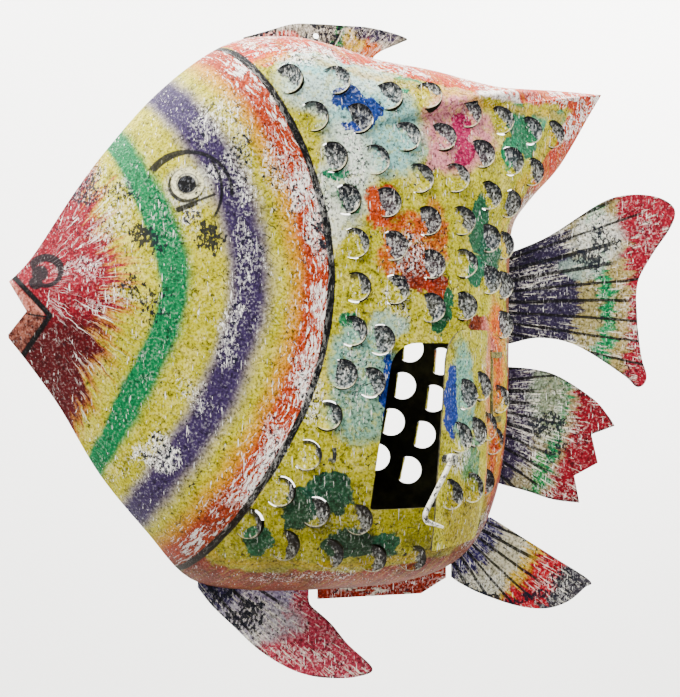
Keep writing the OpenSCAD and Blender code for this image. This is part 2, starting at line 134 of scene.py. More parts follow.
def coat(code):
    # paint as the eye sees it in a bright room: the film curve pales it, so its colour is deepened first
    parts = hue(code)[:3]
    grey = 0.21 * parts[0] + 0.72 * parts[1] + 0.07 * parts[2]
    return tuple(min(max(grey + (part - grey) * 1.08, 0.0) ** 1.55 * 1.04, 1.0) for part in parts) + (1.0,)


def newFinish(name):
    material = bpy.data.materials.new(name)
    material.use_nodes = True
    tree = material.node_tree
    tree.nodes.clear()
    board = Board(tree)
    shader = tree.nodes.new("ShaderNodeBsdfPrincipled")
    output = tree.nodes.new("ShaderNodeOutputMaterial")
    tree.links.new(shader.outputs[0], output.inputs[0])
    return material, board, shader


def feed(board, shader, **sockets):
    names = dict(colour="Base Color", roughness="Roughness", metallic="Metallic", normal="Normal",
                 gloss="Specular IOR Level")
    for key, value in sockets.items():
        socket = shader.inputs[names[key]]
        if isinstance(value, Wire):
            board.tree.links.new(value.socket, socket)
        else:
            socket.default_value = value


# Form of the body

body = dict(length=408.0, height=370.0, halfDepth=62.0, sheet=1.0, rim=1.6, hang=(0.4926, 1.0027),
            back=[(0, 0.545), (0.042, 0.595), (0.105, 0.705), (0.157, 0.785), (0.23, 0.88), (0.31, 0.955),
                  (0.375, 0.99), (0.45, 0.997), (0.52, 0.985), (0.59, 0.965), (0.69, 0.95), (0.815, 0.925),
                  (0.92, 0.927), (1, 0.924)],
            belly=[(1, 0.924), (0.978, 0.885), (0.922, 0.785), (0.868, 0.72), (0.835, 0.665), (0.828, 0.57),
                   (0.828, 0.455), (0.826, 0.335), (0.819, 0.25), (0.806, 0.175), (0.775, 0.095),
                   (0.718, 0.038), (0.627, 0.011), (0.5, 0.005), (0.382, 0.01), (0.287, 0.035),
                   (0.218, 0.12), (0.145, 0.222), (0.086, 0.335), (0.044, 0.403), (0.007, 0.457)],
            spine=(0.466, 0.195, 0.795), lobe=0.83, falls=((4, 0.75), (2.3, 1), (2, 1)),
            mouthDepth=14.0, mouthHeight=60.0, mouthShare=0.5025, inset=0.4, dent=0.42,
            dentSizes=(11, 5), fold=(1.1, 1.6, 13, (-120, -55), (-188, -0.04, -170)), rings=56)


def lies(shareX, shareZ):
    x, z = body["hang"]
    return np.array([(shareX - x) * body["length"], (shareZ - z) * body["height"]])


def smoothLine(points, steps):
    line = []
    for i in range(len(points) - 1):
        a, b, c, d = (np.array(points[j]) for j in (max(i - 1, 0), i, i + 1, min(i + 2, len(points) - 1)))
        for k in range(steps):
            t = k / steps
            line.append((2 * b + (c - a) * t + (2 * a - 5 * b + 4 * c - d) * t ** 2
                         + (3 * b - a - 3 * c + d) * t ** 3) / 2)
    return line


def ease(low, high, value):
    t = np.clip((value - low) / (high - low), 0, 1)
    return t * t * (3 - 2 * t)


seam = np.array(smoothLine([lies(*p) for p in body["back"]], 10)
                + smoothLine([lies(*p) for p in body["belly"]], 6) + [lies(*body["belly"][-1])])
spineX = lies(body["spine"][0], 0)[0]
spineLow, spineHigh = lies(0, body["spine"][1])[1], lies(0, body["spine"][2])[1]
noseX, mouthZ = lies(0, 0)[0], lies(0, body["mouthShare"])[1]
lobeX, lobeEnd = lies(body["lobe"], 0)[0], lies(1, 0)[0]
scaleCentre = lies(0.03, 0.554)


def fallAt(rimX):
    main, head, lobe = (np.array(f) for f in body["falls"])
    toHead, toLobe = ease(spineX, noseX, rimX), ease(lobeX, lobeEnd, rimX)
    return [main[i] + (head[i] - main[i]) * toHead + (lobe[i] - main[i]) * toLobe for i in range(2)]


def riseAt(share, rimX):
    power, curve = fallAt(rimX)
    return np.clip(1 - np.clip(share, 0, 1) ** power, 0, 1) ** curve


def shareAt(x, z):
    # share of the way from the spine to the seam, and the seam's x on that ray
    x, z = np.atleast_1d(np.asarray(x, float)), np.atleast_1d(np.asarray(z, float))
    fromZ = np.clip(z, spineLow, spineHigh)
    wayX, wayZ = x - spineX + 1e-9, z - fromZ
    far = np.zeros_like(x)
    for a, b in zip(seam, np.roll(seam, -1, axis=0)):
        edgeX, edgeZ = b - a
        across = wayX * edgeZ - wayZ * edgeX
        across = np.where(np.abs(across) < 1e-9, 1e-9, across)
        t = ((a[0] - spineX) * edgeZ - (a[1] - fromZ) * edgeX) / across
        s = ((a[0] - spineX) * wayZ - (a[1] - fromZ) * wayX) / across
        far = np.maximum(far, np.where((t > 0) & (s >= 0) & (s <= 1), t, 0))
    far = np.maximum(far, 1e-6)
    return 1 / far, spineX + wayX * far


def depthAt(x, z, grow=0.0):
    share, rimX = shareAt(x, z)
    return (body["halfDepth"] + grow) * riseAt(share, rimX)


def dentAt(x, z):
    # hammer marks: shallow and even, about as wide as a thumb
    wide, small = body["dentSizes"]
    marks = np.array([noise.noise((a / wide, 3.1, b / wide)) + 0.45 * noise.noise((a / small, 7.7, b / small))
                      for a, b in zip(x, z)]) * body["dent"]
    # fold that runs back from the mouth: a sharp upper lip, a soft hollow under it
    depth, sharp, soft, (firstX, lastX), (level, slope, startX) = body["fold"]
    below = level + slope * (x - startX) - z
    fold = -depth * np.where(below > 0, np.exp(-below / soft), np.exp(below / sharp))
    return marks + fold * (1 - ease(firstX, lastX, x))


def dentedSkin(outer, inner, rimOuter, rimInner):
    # solid sheet between two distances from the skin: the outer faces take slot 0, the inner ones slot 1
    count, rings = len(seam), body["rings"]
    shares = 1 - (np.arange(rings) / (rings - 1)) ** 1.2 * 0.965
    points, faces, slots = [], [], []
    for grow, rimGrow, flip in ((outer, rimOuter, False), (inner, rimInner, True)):
        base = len(points) * count
        for share in shares:
            fromZ = np.clip(seam[:, 1], spineLow, spineHigh)
            way = seam - np.stack([np.full(count, spineX), fromZ], 1)
            reach = np.linalg.norm(way, axis=1)
            out = rimGrow if share == 1 else grow
            place = np.stack([np.full(count, spineX), fromZ], 1) + way * (share * (1 + out / reach))[:, None]
            depth = (body["halfDepth"] + out) * riseAt(share, seam[:, 0])
            depth = depth + dentAt(place[:, 0], place[:, 1]) * (1 - share ** 10)
            points.append(np.stack([place[:, 0], -depth, place[:, 1]], 1))
        for ring in range(rings - 1):
            for i in range(count):
                a, b = base + ring * count + i, base + ring * count + (i + 1) % count
                quad = (a, a + count, b + count, b)
                faces.append(quad[::-1] if flip else quad)
                slots.append(1 if flip else 0)
        top = base + (rings - 1) * count
        cap = tessellate_polygon([[Vector((p[0], p[2], 0)) for p in points[-1]]])
        for tri in cap:
            a, b, c = (points[-1][i] for i in tri)
            turn = (b[0] - a[0]) * (c[2] - a[2]) - (b[2] - a[2]) * (c[0] - a[0])
            order = tri if (turn > 0) != flip else tri[::-1]
            faces.append(tuple(top + i for i in order))
            slots.append(1 if flip else 0)
    below = rings * count
    for i in range(count):
        j = (i + 1) % count
        faces.append((j, below + j, below + i, i))
        slots.append(0)
    return np.concatenate(points), faces, slots


def makePiece(name, points, faces, slots=None, materials=()):
    mesh = bpy.data.meshes.new(name)
    mesh.from_pydata([tuple(p) for p in np.asarray(points) * mm], [], faces)
    for material in materials:
        mesh.materials.append(material)
    if slots is not None:
        mesh.polygons.foreach_set("material_index", slots)
    mesh.validate()
    mesh.update()
    piece = bpy.data.objects.new(name, mesh)
    bpy.context.scene.collection.objects.link(piece)
    return piece


def baked(piece):
    # what the modifiers of a piece make, as its plain mesh
    graph = bpy.context.evaluated_depsgraph_get()
    mesh = bpy.data.meshes.new_from_object(piece.evaluated_get(graph), preserve_all_data_layers=True,
                                           depsgraph=graph)
    piece.modifiers.clear()
    piece.data = mesh
    return piece


# turn of the surface, in degrees, from which an edge stays sharp
creases = dict(flap=40, skin=32, fin=50)


def softEdges(piece, degrees):
    mesh = piece.data
    mesh.shade_smooth()
    normals = np.empty(len(mesh.polygons) * 3)
    mesh.polygons.foreach_get("normal", normals)
    normals = normals.reshape(-1, 3)
    sides = {}
    for face in mesh.polygons:
        for key in face.edge_keys:
            sides.setdefault(key, []).append(face.index)
    limit, sharp = math.cos(math.radians(degrees)), []
    for edge in mesh.edges:
        pair = sides.get(tuple(sorted(edge.vertices)), ())
        sharp.append(len(pair) == 2 and float(normals[pair[0]] @ normals[pair[1]]) < limit)
    mesh.edges.foreach_set("use_edge_sharp", sharp)


def mark(piece, name, values, kind="FLOAT"):
    layer = piece.data.attributes.new(name, kind, "POINT")
    layer.data.foreach_set("value" if kind == "FLOAT" else "vector", np.asarray(values, float).ravel())


def placesOf(piece):
    places = np.empty(len(piece.data.vertices) * 3)
    piece.data.vertices.foreach_get("co", places)
    return places.reshape(-1, 3)


# Trees that punch and raise the scales

def growTree(name, inputs):
    tree = bpy.data.node_groups.new(name, "GeometryNodeTree")
    tree.interface.new_socket(name="Geometry", in_out="INPUT", socket_type="NodeSocketGeometry")
    tree.interface.new_socket(name="Geometry", in_out="OUTPUT", socket_type="NodeSocketGeometry")
    keys = {label: tree.interface.new_socket(name=label, in_out="INPUT", socket_type=kind).identifier
            for label, kind in inputs.items()}
    board = Board(tree)
    entry = tree.nodes.new("NodeGroupInput")
    exitNode = tree.nodes.new("NodeGroupOutput")
    taken = {socket.name: Wire(board, socket) for socket in entry.outputs if socket.name}
    return board, keys, taken, exitNode


def runTree(piece, board, keys, values):
    modifier = piece.modifiers.new(board.tree.name, "NODES")
    modifier.node_group = board.tree
    for label, value in values.items():
        modifier[keys[label]] = value
    return baked(piece)


def formOf(wire):
    return wire.board.node("GeometryNodeObjectInfo", None, {"Object": wire}, out="Geometry")


def storedTurn(board):
    turn = board.node("GeometryNodeInputNamedAttribute", dict(data_type="FLOAT_VECTOR"), {"Name": "turn"})
    return board.node("FunctionNodeEulerToRotation", None, {0: turn})


def punchTree():
    board, keys, taken, exitNode = growTree("punchScales", {"Cutter": "NodeSocketObject",
                                                            "Places": "NodeSocketObject",
                                                            "Cut size": "NodeSocketFloat",
                                                            "Edge": "NodeSocketMaterial"})
    cutter = formOf(taken["Cutter"])
    places = formOf(taken["Places"])
    facing = storedTurn(board)
    size = board.join(taken["Cut size"], taken["Cut size"], 1.0)
    copies = board.node("GeometryNodeInstanceOnPoints", None,
                        {"Points": places, "Instance": cutter, "Rotation": facing, "Scale": size})
    solid = board.node("GeometryNodeRealizeInstances", None, {"Geometry": copies})
    solid = board.node("GeometryNodeSetMaterial", None, {"Geometry": solid, "Material": taken["Edge"]})
    cut = board.node("GeometryNodeMeshBoolean", dict(operation="DIFFERENCE", solver="EXACT"),
                     {"Mesh 1": taken["Geometry"], "Mesh 2": solid})
    board.tree.links.new(cut.socket, exitNode.inputs[0])
    return board, keys


def raiseTree():
    board, keys, taken, exitNode = growTree("raiseScales", {"Flap": "NodeSocketObject",
                                                            "Size jitter": "NodeSocketFloat",
                                                            "Tilt jitter": "NodeSocketFloat",
                                                            "Root": "NodeSocketFloat",
                                                            "Seed": "NodeSocketInt",
                                                            "Finish": "NodeSocketMaterial"})
    flap = formOf(taken["Flap"])
    facing = storedTurn(board)
    def random(low, high, seed):
        return board.node("FunctionNodeRandomValue", dict(data_type="FLOAT"),
                          {2: low, 3: high, "Seed": seed}, out=1)
    size = random(1 - taken["Size jitter"], 1 + taken["Size jitter"], taken["Seed"])
    copies = board.node("GeometryNodeInstanceOnPoints", None,
                        {"Points": taken["Geometry"], "Instance": flap, "Rotation": facing, "Scale": size})
    tilt = random(-1 * taken["Tilt jitter"], taken["Tilt jitter"], taken["Seed"] + 1)
    lean = board.node("FunctionNodeEulerToRotation", None, {0: board.join(0.0, tilt, 0.0)})
    copies = board.node("GeometryNodeRotateInstances", None,
                        {"Instances": copies, "Rotation": lean,
                         "Pivot Point": board.join(taken["Root"], 0.0, 0.0)})
    tone = random(0.0, 1.0, taken["Seed"] + 2)
    copies = board.node("GeometryNodeStoreNamedAttribute", dict(data_type="FLOAT", domain="INSTANCE"),
                        {"Geometry": copies, "Name": "flapTone", "Value": tone})
    solid = board.node("GeometryNodeRealizeInstances", None, {"Geometry": copies})
    solid = board.node("GeometryNodeSetMaterial", None, {"Geometry": solid, "Material": taken["Finish"]})
    board.tree.links.new(solid.socket, exitNode.inputs[0])
    return board, keys


# Places of the scales, in rows round the mouth

scales = dict(radius=9.0, start=200.0, rowPitch=25.0, pitch=27.4, kerf=0.8, rootAngle=120,
              sizeJitter=0.03, tiltJitter=0.06, root=-0.0045, seed=7,
              # row, first angle and number of scales
              nearRuns=[
                  (0, 38, 12), (1, 33.5, 6), (0.75, -9.7, 2), (1, -39.5, 2), (2, 27.6, 6), (2, -36.5, 2),
                  (3, 25.4, 6), (3, -39.4, 1), (4, 21.5, 5), (4, -36.3, 1), (5, 19.5, 6), (5, -14, 4),
                  (6, 17.5, 2), (7, 16.5, 1)],
              farRuns=[
                  (0, 38, 12), (1, 33.5, 12), (2, 27.6, 11), (3, 25.4, 11), (4, 21.5, 10), (5, 19.5, 9),
                  (6, 17.5, 2), (7, 16.5, 1)],
              onDoor=[(0.26, 0.7), (0.565, 0.74), (0.155, 0.45), (0.45, 0.47), (0.755, 0.49), (0.02, 0.125),
                      (0.375, 0.145)])


def scalePlace(radius, angle):
    return scaleCentre + radius * np.array([math.cos(math.radians(angle)), math.sin(math.radians(angle))])


def rowRadius(row, angle):
    if row <= 0:
        return scales["start"]
    pitch = scales["rowPitch"] * min(row, 1)
    mid = rowRadius(row - 1, angle) + pitch / 2
    drop = float(depthAt(*scalePlace(mid, angle))[0] - depthAt(*scalePlace(mid + pitch / 2, angle))[0])
    return mid - pitch / 2 + pitch * math.cos(math.atan(2 * drop / pitch))


def runScales(runs):
    found = []
    for row, first, count in runs:
        between = math.degrees(scales["pitch"] / rowRadius(row, first))
        for i in range(count):
            angle = first - i * between
            found.append((scalePlace(rowRadius(row, angle), angle), angle / 2))
    return found


def skinFrame(place, turn, lift=0.0):
    d = 2.0
    x, z = place
    here, east, west, north, south = depthAt([x, x + d, x - d, x, x], [z, z, z, z + d, z - d])
    slopeX, slopeZ = (east - west) / (2 * d), (north - south) / (2 * d)
    out = -np.array([slopeX, 1, slopeZ]) / math.sqrt(slopeX ** 2 + 1 + slopeZ ** 2)
    c, s = math.cos(math.radians(turn)), math.sin(math.radians(turn))
    along = np.array([c, -(slopeX * c + slopeZ * s), s])
    along /= np.linalg.norm(along)
    spot = np.array([x, -here, z]) + out * (lift - body["inset"])
    return spot, Matrix(np.stack([along, np.cross(out, along), out], 1).tolist())


def placeCloud(name, found, lift=0.0, mirrored=False):
    # points with the turn of each scale, for the trees
    spots, turns = [], []
    for place, turn in found:
        spot, matrix = skinFrame(place, turn, lift)
        spots.append(spot)
        turns.append(matrix.to_euler())
    cloud = makePiece(name, spots, [])
    mark(cloud, "turn", [tuple(t) for t in turns], "FLOAT_VECTOR")
    return cloud


def scaleOutline(radius, steps):
    ends = np.radians(np.linspace(-scales["rootAngle"], scales["rootAngle"], steps + 1))
    return [(radius * math.cos(a), radius * math.sin(a)) for a in ends]


def cutterPiece():
    r, grow = scales["radius"], (scales["radius"] + scales["kerf"]) / scales["radius"]
    shift = r * math.cos(math.radians(scales["rootAngle"])) * (1 - grow)
    ring = [(x + shift, y) for x, y in scaleOutline(r * grow, 18)]
    n = len(ring)
    points = [(x, y, z) for z in (-4.5, 4.5) for x, y in ring]
    faces = [tuple(range(n - 1, -1, -1)), tuple(range(n, 2 * n))]
    faces += [(i, (i + 1) % n, n + (i + 1) % n, n + i) for i in range(n)]
    return makePiece("scaleCutter", points, faces)


def flapPiece(name, firstTilt, lastTilt, bowl):
    # one scale: a round-edged tongue that leaves the sheet at its root and curls up to its edge
    r, wide, deep = scales["radius"], 17, 12
    rootX = r * math.cos(math.radians(scales["rootAngle"]))
    lengthwise = np.linspace(-1.3, r - rootX, 90)
    tilt = np.radians(firstTilt) * ease(-0.6, 1.2, lengthwise)
    tilt += np.radians(lastTilt - firstTilt) * np.clip(lengthwise / (r - rootX), 0, 1)
    runX = np.concatenate([[0], np.cumsum(np.cos(tilt[1:]) * np.diff(lengthwise))]) + rootX - 1.3
    runZ = np.concatenate([[0], np.cumsum(np.sin(tilt[1:]) * np.diff(lengthwise))]) - 0.06
    top, under, lifts, sides, edges = [], [], [], [], []
    for i in range(wide):
        v = r * math.sin(math.radians(-90 + 180 * i / (wide - 1)) * 0.985)
        reach = math.sqrt(max(r * r - v * v, 0))
        begin = -min(-rootX, reach) - (1.3 if reach > -rootX else 0)
        for k in range(deep):
            s = begin + (reach - begin) * (k / (deep - 1)) - rootX
            x, z = np.interp(s, lengthwise, runX), np.interp(s, lengthwise, runZ)
            lean = np.interp(s, lengthwise, tilt)
            edge = r - math.hypot(s + rootX, v)
            z += bowl * max(0.0, 1 - edge / 6) ** 2 * float(ease(0.0, 5.0, s))
            top.append((x, v, z))
            under.append((x + math.sin(lean) * body["sheet"], v, z - math.cos(lean) * body["sheet"]))
            lifts.append(max(s, 0) / (r - rootX))
            sides.append(v / r)
            edges.append(edge if s > 0 else r)
    n = wide * deep
    faces = []
    for i in range(wide - 1):
        for k in range(deep - 1):
            a, b, c, d = i * deep + k, (i + 1) * deep + k, (i + 1) * deep + k + 1, i * deep + k + 1
            faces += [(a, d, c, b), (n + a, n + b, n + c, n + d)]
    for i in range(wide - 1):
        a, b = i * deep, (i + 1) * deep
        faces += [(a, b, n + b, n + a), (b + deep - 1, a + deep - 1, n + a + deep - 1, n + b + deep - 1)]
    for k in range(deep - 1):
        last = (wide - 1) * deep
        faces += [(k + 1, k, n + k, n + k + 1), (last + k, last + k + 1, n + last + k + 1, n + last + k)]
    flap = makePiece(name, top + under, faces)
    mark(flap, "flapLift", lifts * 2)
    mark(flap, "flapSide", sides * 2)
    mark(flap, "flapEdge", edges * 2)
    softEdges(flap, creases["flap"])
    return flap


# Door and doorway

hinge = np.array([106.039, -45.0, -233.988])
door = dict(ajar=35.0, gap=1.6, width=70.0, height=104.0, sideLap=2.0, topLap=8.0, bottomLap=19.0,
            roundTop=18.0, roundHinge=8.0, roundSmall=2.0, lean=13.0, upright=51.0, slant=21.0, sleeve=2.21)
wayTop = lies(0, 0.4486)[1]
wayLow = wayTop - door["height"]
wayTail = hinge[0] - door["sleeve"] - 0.2
wayHead = wayTail - door["width"]


def doorOutline(side, top, low):
    big, mid, small = door["roundTop"] + top / 2, door["roundHinge"], door["roundSmall"]
    rounds = [(wayHead - side + big, wayTop + top - big, big), (wayTail - mid, wayTop + top - mid, mid),
              (wayTail - small, wayTop - door["upright"], small),
              (wayTail - door["slant"] + side - mid, wayLow - low + mid, mid),
              (wayHead - door["lean"] - side + small, wayLow - low + small, small)]
    dots = sorted({(round(x + r * math.cos(a), 4), round(z + r * math.sin(a), 4))
                   for x, z, r in rounds for a in np.linspace(0, 2 * math.pi, 64, endpoint=False)})

    def chain(order):
        kept = []
        for p in order:
            while len(kept) > 1 and ((kept[-1][0] - kept[-2][0]) * (p[1] - kept[-2][1])
                                     - (kept[-1][1] - kept[-2][1]) * (p[0] - kept[-2][0])) <= 0:
                kept.pop()
            kept.append(p)
        return kept[:-1]
    return chain(dots) + chain(dots[::-1])


def prismPiece(name, outline, front, back, material=None):
    n = len(outline)
    points = [(x, y, z) for y in (front, back) for x, z in outline]
    faces = [tuple(range(n)), tuple(range(2 * n - 1, n - 1, -1))]
    faces += [((i + 1) % n, i, n + i, n + (i + 1) % n) for i in range(n)]
    return makePiece(name, points, faces, None, [material] if material else ())


def carve(piece, tool, operation="DIFFERENCE"):
    modifier = piece.modifiers.new("carve", "BOOLEAN")
    modifier.object, modifier.operation, modifier.solver = tool, operation, "EXACT"
    modifier.material_mode = "TRANSFER"
    baked(piece)
    bpy.data.objects.remove(tool)


def mouthOutline():
    back, high = body["mouthDepth"], body["mouthHeight"]
    return [(noseX + back, mouthZ), (noseX - back, mouthZ + high * 0.8), (noseX - back, mouthZ - high * 0.6)]


def mirrorY(piece):
    piece.data.transform(Matrix.Scale(-1, 4, (0, 1, 0)))
    piece.data.flip_normals()


# Paints

paint = dict(olive="bdb94a", oliveLight="d2cb7e", oliveDark="857f2e", pinkNose="b4505f",
             green="2a8e66", greenPale="6aa070", purple="574a6c", purplePale="8a829c", orange="b4581c",
             orangePale="cd9450", ink="141417", white="f8f7f3", chip="1f2a3e", shadeAndGrime="3a3016")

# dabs behind the gill line: x, z, half width, half height, colour and how soft the edge is
dabs = [
    (2, -46, 42, 20, "cbdedb", 0.5), (24, -74, 34, 26, "a2c9c8", 0.45), (-12, -31, 26, 8, "b0d6d4", 0.4),
    (4, -98, 17, 32, "d5dfd4", 0.5), (45, -42, 10, 6, "3aa183", 0.12), (7, -51, 10, 8, "33508f", 0.08),
    (19, -61, 11, 9, "3a5698", 0.08), (12, -70, 8, 6, "3d59a2", 0.1), (4, -116, 9, 9, "14805c", 0.15),
    (-3, -100, 7, 4, "329072", 0.2), (9, -190, 7, 6, "1f8866", 0.15), (84, -70, 27, 28, "d39aa6", 0.35),
    (84, -67, 10, 10, "b04474", 0.15), (87, -84, 9, 9, "ac3c6e", 0.15), (66, -84, 9, 9, "d3a0a6", 0.3),
    (128, -52, 8, 8, "1d8c6c", 0.2), (133, -66, 13, 14, "15866a", 0.15), (122, -79, 8, 10, "289674", 0.2),
    (166, -50, 9, 7, "30987c", 0.2), (148, -58, 7, 8, "48a58c", 0.3), (28, -118, 11, 12, "b85a34", 0.2),
    (44, -136, 14, 16, "bf6440", 0.35), (53, -159, 14, 16, "8e2c1c", 0.15),
    (38, -152, 13, 11, "bc6e48", 0.35), (63, -171, 8, 8, "a84a26", 0.15), (98, -130, 9, 19, "0c7860", 0.12),
    (109, -150, 12, 17, "0b745e", 0.12), (94, -159, 9, 10, "128268", 0.15),
    (70, -186, 6, 13, "0d7a5e", 0.12), (97, -193, 9, 4, "9b4f3e", 0.25), (-3, -130, 6, 16, "dcdfd2", 0.4),
    (62, -138, 10, 26, "c27850", 0.35), (33, -192, 14, 9, "b2c9c0", 0.4), (14, -216, 22, 22, "93b9b0", 0.4),
    (12, -247, 22, 20, "92b4a8", 0.4), (30, -232, 5, 21, "2f559e", 0.1), (-8, -300, 16, 14, "0a6c5a", 0.1),
    (-27, -307, 12, 13, "0a6c5a", 0.1), (10, -331, 22, 10, "0a6c5a", 0.12),
    (33, -333, 10, 8, "107e66", 0.12), (-49, -327, 9, 10, "1c8468", 0.12), (-46, -25, 16, 7, "dc6a54", 0.3),
    (115, -212, 9, 34, "d47a56", 0.5), (116, -290, 10, 38, "d0643e", 0.5), (104, -206, 6, 15, "d0928c", 0.5)]
doorDabs = [
    (50, -236, 16, 34, "8fbcb0", 0.4), (35, -240, 7, 23, "2f559e", 0.1), (62, -276, 12, 16, "6fa084", 0.4),
    (60, -290, 5, 9, "178a58", 0.2), (84, -240, 8, 30, "c8b65c", 0.5), (96, -250, 9, 60, "cf8a68", 0.4),
    (56, -312, 26, 26, "aea24a", 0.5)]
# where the paint is rubbed through to white primer, and where it has chipped dark
rubbed = [
    (-134, -140, 12, 13, 0.55), (-152, -162, 14, 6, 0.6), (-138, -181, 22, 6, 0.5),
    (-146, -104, 8, 15, 0.6), (-128, -119, 11, 14, 0.5), (-90, -128, 9, 7, 0.8), (-80, -96, 7, 8, 0.8),
    (-74, -66, 13, 14, 0.65), (-61, -98, 10, 22, 0.7), (-56, -150, 9, 22, 0.55), (-64, -198, 9, 20, 0.6),
    (-106, -271, 14, 10, 1.0), (-88, -238, 9, 14, 0.55), (-37, -92, 9, 16, 0.7), (-27, -112, 8, 16, 0.9),
    (-12, -136, 7, 26, 1.0), (-20, -236, 8, 26, 0.75), (-42, -270, 9, 20, 0.75), (-66, -300, 12, 10, 0.5),
    (-20, -30, 26, 8, 0.8), (5, -96, 9, 20, 0.7), (-5, -128, 6, 16, 0.5), (50, -148, 15, 14, 0.6),
    (42, -178, 10, 12, 0.7), (8, -226, 14, 20, 0.45), (100, -330, 16, 14, 0.6), (-20, -352, 36, 6, 0.5)]
chipped = [
    (-113, -146, 8, 8, 1.0), (-80, -142, 10, 9, 1.0), (-147, -108, 7, 15, 0.75), (-116, -186, 8, 6, 0.6),
    (-120, -176, 12, 9, 0.5), (-90, -129, 8, 4, 0.8), (-107, -270, 11, 8, 0.5), (-9, -140, 4, 14, 0.9),
    (-60, -92, 8, 14, 0.5), (46, -160, 7, 7, 0.5), (-127, -116, 8, 10, 0.6)]


def spread(x, z, wear, listing):
    # how strongly any of these spots covers a place
    most = 0.0
    wx = x + (wear["wander"][0] - 0.5) * 44 + (wear["fine"][2] - 0.5) * 14
    wz = z + (wear["wander"][2] - 0.5) * 44 + (wear["fine"][1] - 0.5) * 14
    for cx, cz, rx, rz, strength in listing:
        across, up = (wx - cx) / rx, (wz - cz) / rz
        cover = (1 - step(across * across + up * up, 0.3, 1.7)) * strength
        most = larger(cover, most)
    return most


# scale of each noise of the paint: one number where it is even, three where it runs with the brush
grains = dict(wander=24, fine=130, grit=640, tone=230, salt=(640, 500, 340), pepper=420, clump=36,
              hairline=70, scuff=(900, 300, 110), scuffOther=(1000, 300, 130))


def brushed(board, place):
    # shared grain of brushed and rubbed paint, and a wander for its edges
    def run(name, detail, roughness, lean=None):
        if lean is None:
            return board.grain(place, grains[name], detail, roughness)
        return board.grain(board.mapped(place, (0, lean, 0), grains[name]), 1.0, detail, roughness)
    return dict(wander=board.split(board.grain(place, grains["wander"], 3, 0.6, out=1)),
                fine=board.split(board.grain(place, grains["fine"], 3, 0.65, out=1)),
                grit=run("grit", 1.0, 0.6), tone=run("tone", 2, 0.7), salt=run("salt", 3, 0.65, 0.6),
                pepper=board.grain(board.mapped(place, shift=(0.3, 0.1, 0.2)), grains["pepper"], 3, 0.65),
                clump=run("clump", 3, 0.62),
                hairline=run("hairline", 2, 0.5), scuff=run("scuff", 2, 0.6, 0.75),
                scuffOther=run("scuffOther", 2, 0.6, -0.4))


# how strongly each kind of wear lies on the paint, and between which levels of its noise it starts
worn = dict(film=0.1, filmFrom=(0.53, 0.66), white=0.94, whiteFrom=(0.735, 0.765), scuff=0.9, pit=0.92,
            pitFrom=(0.66, 0.69), chip=0.95, chipFrom=(0.61, 0.63), crackHalf=(0.004, 0.011),
            bump=0.0012, gloss=0.12)


def wearDown(board, shader, colour, wear, rub, chip, streak=None, held=0.0, shadeAndGrime=0.0):
    # grain, chalky film, rubbed white with dark pits, scratches, cracks and chips, then the relief they leave
    grit, salt, pepper, clump, tone = (wear[key] for key in ("grit", "salt", "pepper", "clump", "tone"))
    white, dark = coat(paint["white"]), coat(paint["chip"])
    shade = 1.14 - step(grit, 0.53, 0.33) * 0.62 - step(tone, 0.5, 0.32) * 0.42
    colour = board.node("ShaderNodeHueSaturation", None,
                        {"Saturation": 1.04, "Value": shade, "Color": colour})
    soft = rub + step(clump, 0.54, 0.68) * 0.26
    unheld = 1 - held
    film = step(grit * 0.7 + salt * 0.3 + soft * 0.12, *worn["filmFrom"])
    colour = board.mix(film * (worn["film"] + soft * 0.3) * unheld, colour, white)
    bared = step(salt + soft * 0.24 + (wear["fine"][0] - 0.5) * 0.16, *worn["whiteFrom"])
    colour = board.mix(bared * worn["white"] * unheld, colour, white)
    thin = larger(step(wear["scuff"] + soft * 0.06, 0.69, 0.71),
                  step(wear["scuffOther"] + soft * 0.06, 0.7, 0.72))
    if streak is not None:
        thin = larger(thin, streak)
    colour = board.mix(thin * worn["scuff"] * unheld, colour, white)
    pits = step(pepper + soft * 0.13, *worn["pitFrom"]) * step(soft, 0.1, 0.35)
    colour = board.mix(pits * worn["pit"], colour, dark)
    crack = (1 - step(abs(wear["hairline"] - 0.5), *worn["crackHalf"])) * step(wear["wander"][2], 0.57, 0.6)
    chips = larger(step(pepper * 0.4 + salt * 0.6 + chip * 0.17, *worn["chipFrom"]),
                   crack * step(tone, 0.48, 0.52))
    colour = board.mix(chips * worn["chip"], colour, dark)
    # painted shade: a dark brown laid over the lower body, darker toward the bottom where the underside turns
    # from the light; on the door only an even, light darkening
    colour = board.mix(shadeAndGrime, colour, coat(paint["shadeAndGrime"]))
    relief = salt * 0.5 + grit * 0.3 - chips * 0.25 - thin * 0.1
    bump = board.node("ShaderNodeBump", None, {"Strength": 0.6, "Distance": worn["bump"], "Height": relief})
    feed(board, shader, colour=colour, normal=bump, roughness=0.55 + clump * 0.25, gloss=worn["gloss"])


def dab(colour, x, z, wear, listing):
    wx = x + (wear["wander"][0] - 0.5) * 22 + (wear["fine"][1] - 0.5) * 13
    wz = z + (wear["wander"][1] - 0.5) * 22 + (wear["fine"][2] - 0.5) * 13
    for cx, cz, rx, rz, code, soft in listing:
        across, up = (wx - cx) / rx, (wz - cz) / rz
        cover = 1 - step(across * across + up * up, 1 - soft, 1 + soft)
        laid = 0.97 if soft < 0.3 else 0.92 - step(wear["tone"], 0.5, 0.62) * 0.4
        colour = x.board.mix(cover * laid, colour, coat(code))
    return colour


def awayFrom(x, z, cx, cz):
    return ((x - cx) * (x - cx) + (z - cz) * (z - cz)) ** 0.5


def disc(x, z, cx, cz, radius, soft=0.7):
    return 1 - step(awayFrom(x, z, cx, cz), radius - soft, radius + soft)


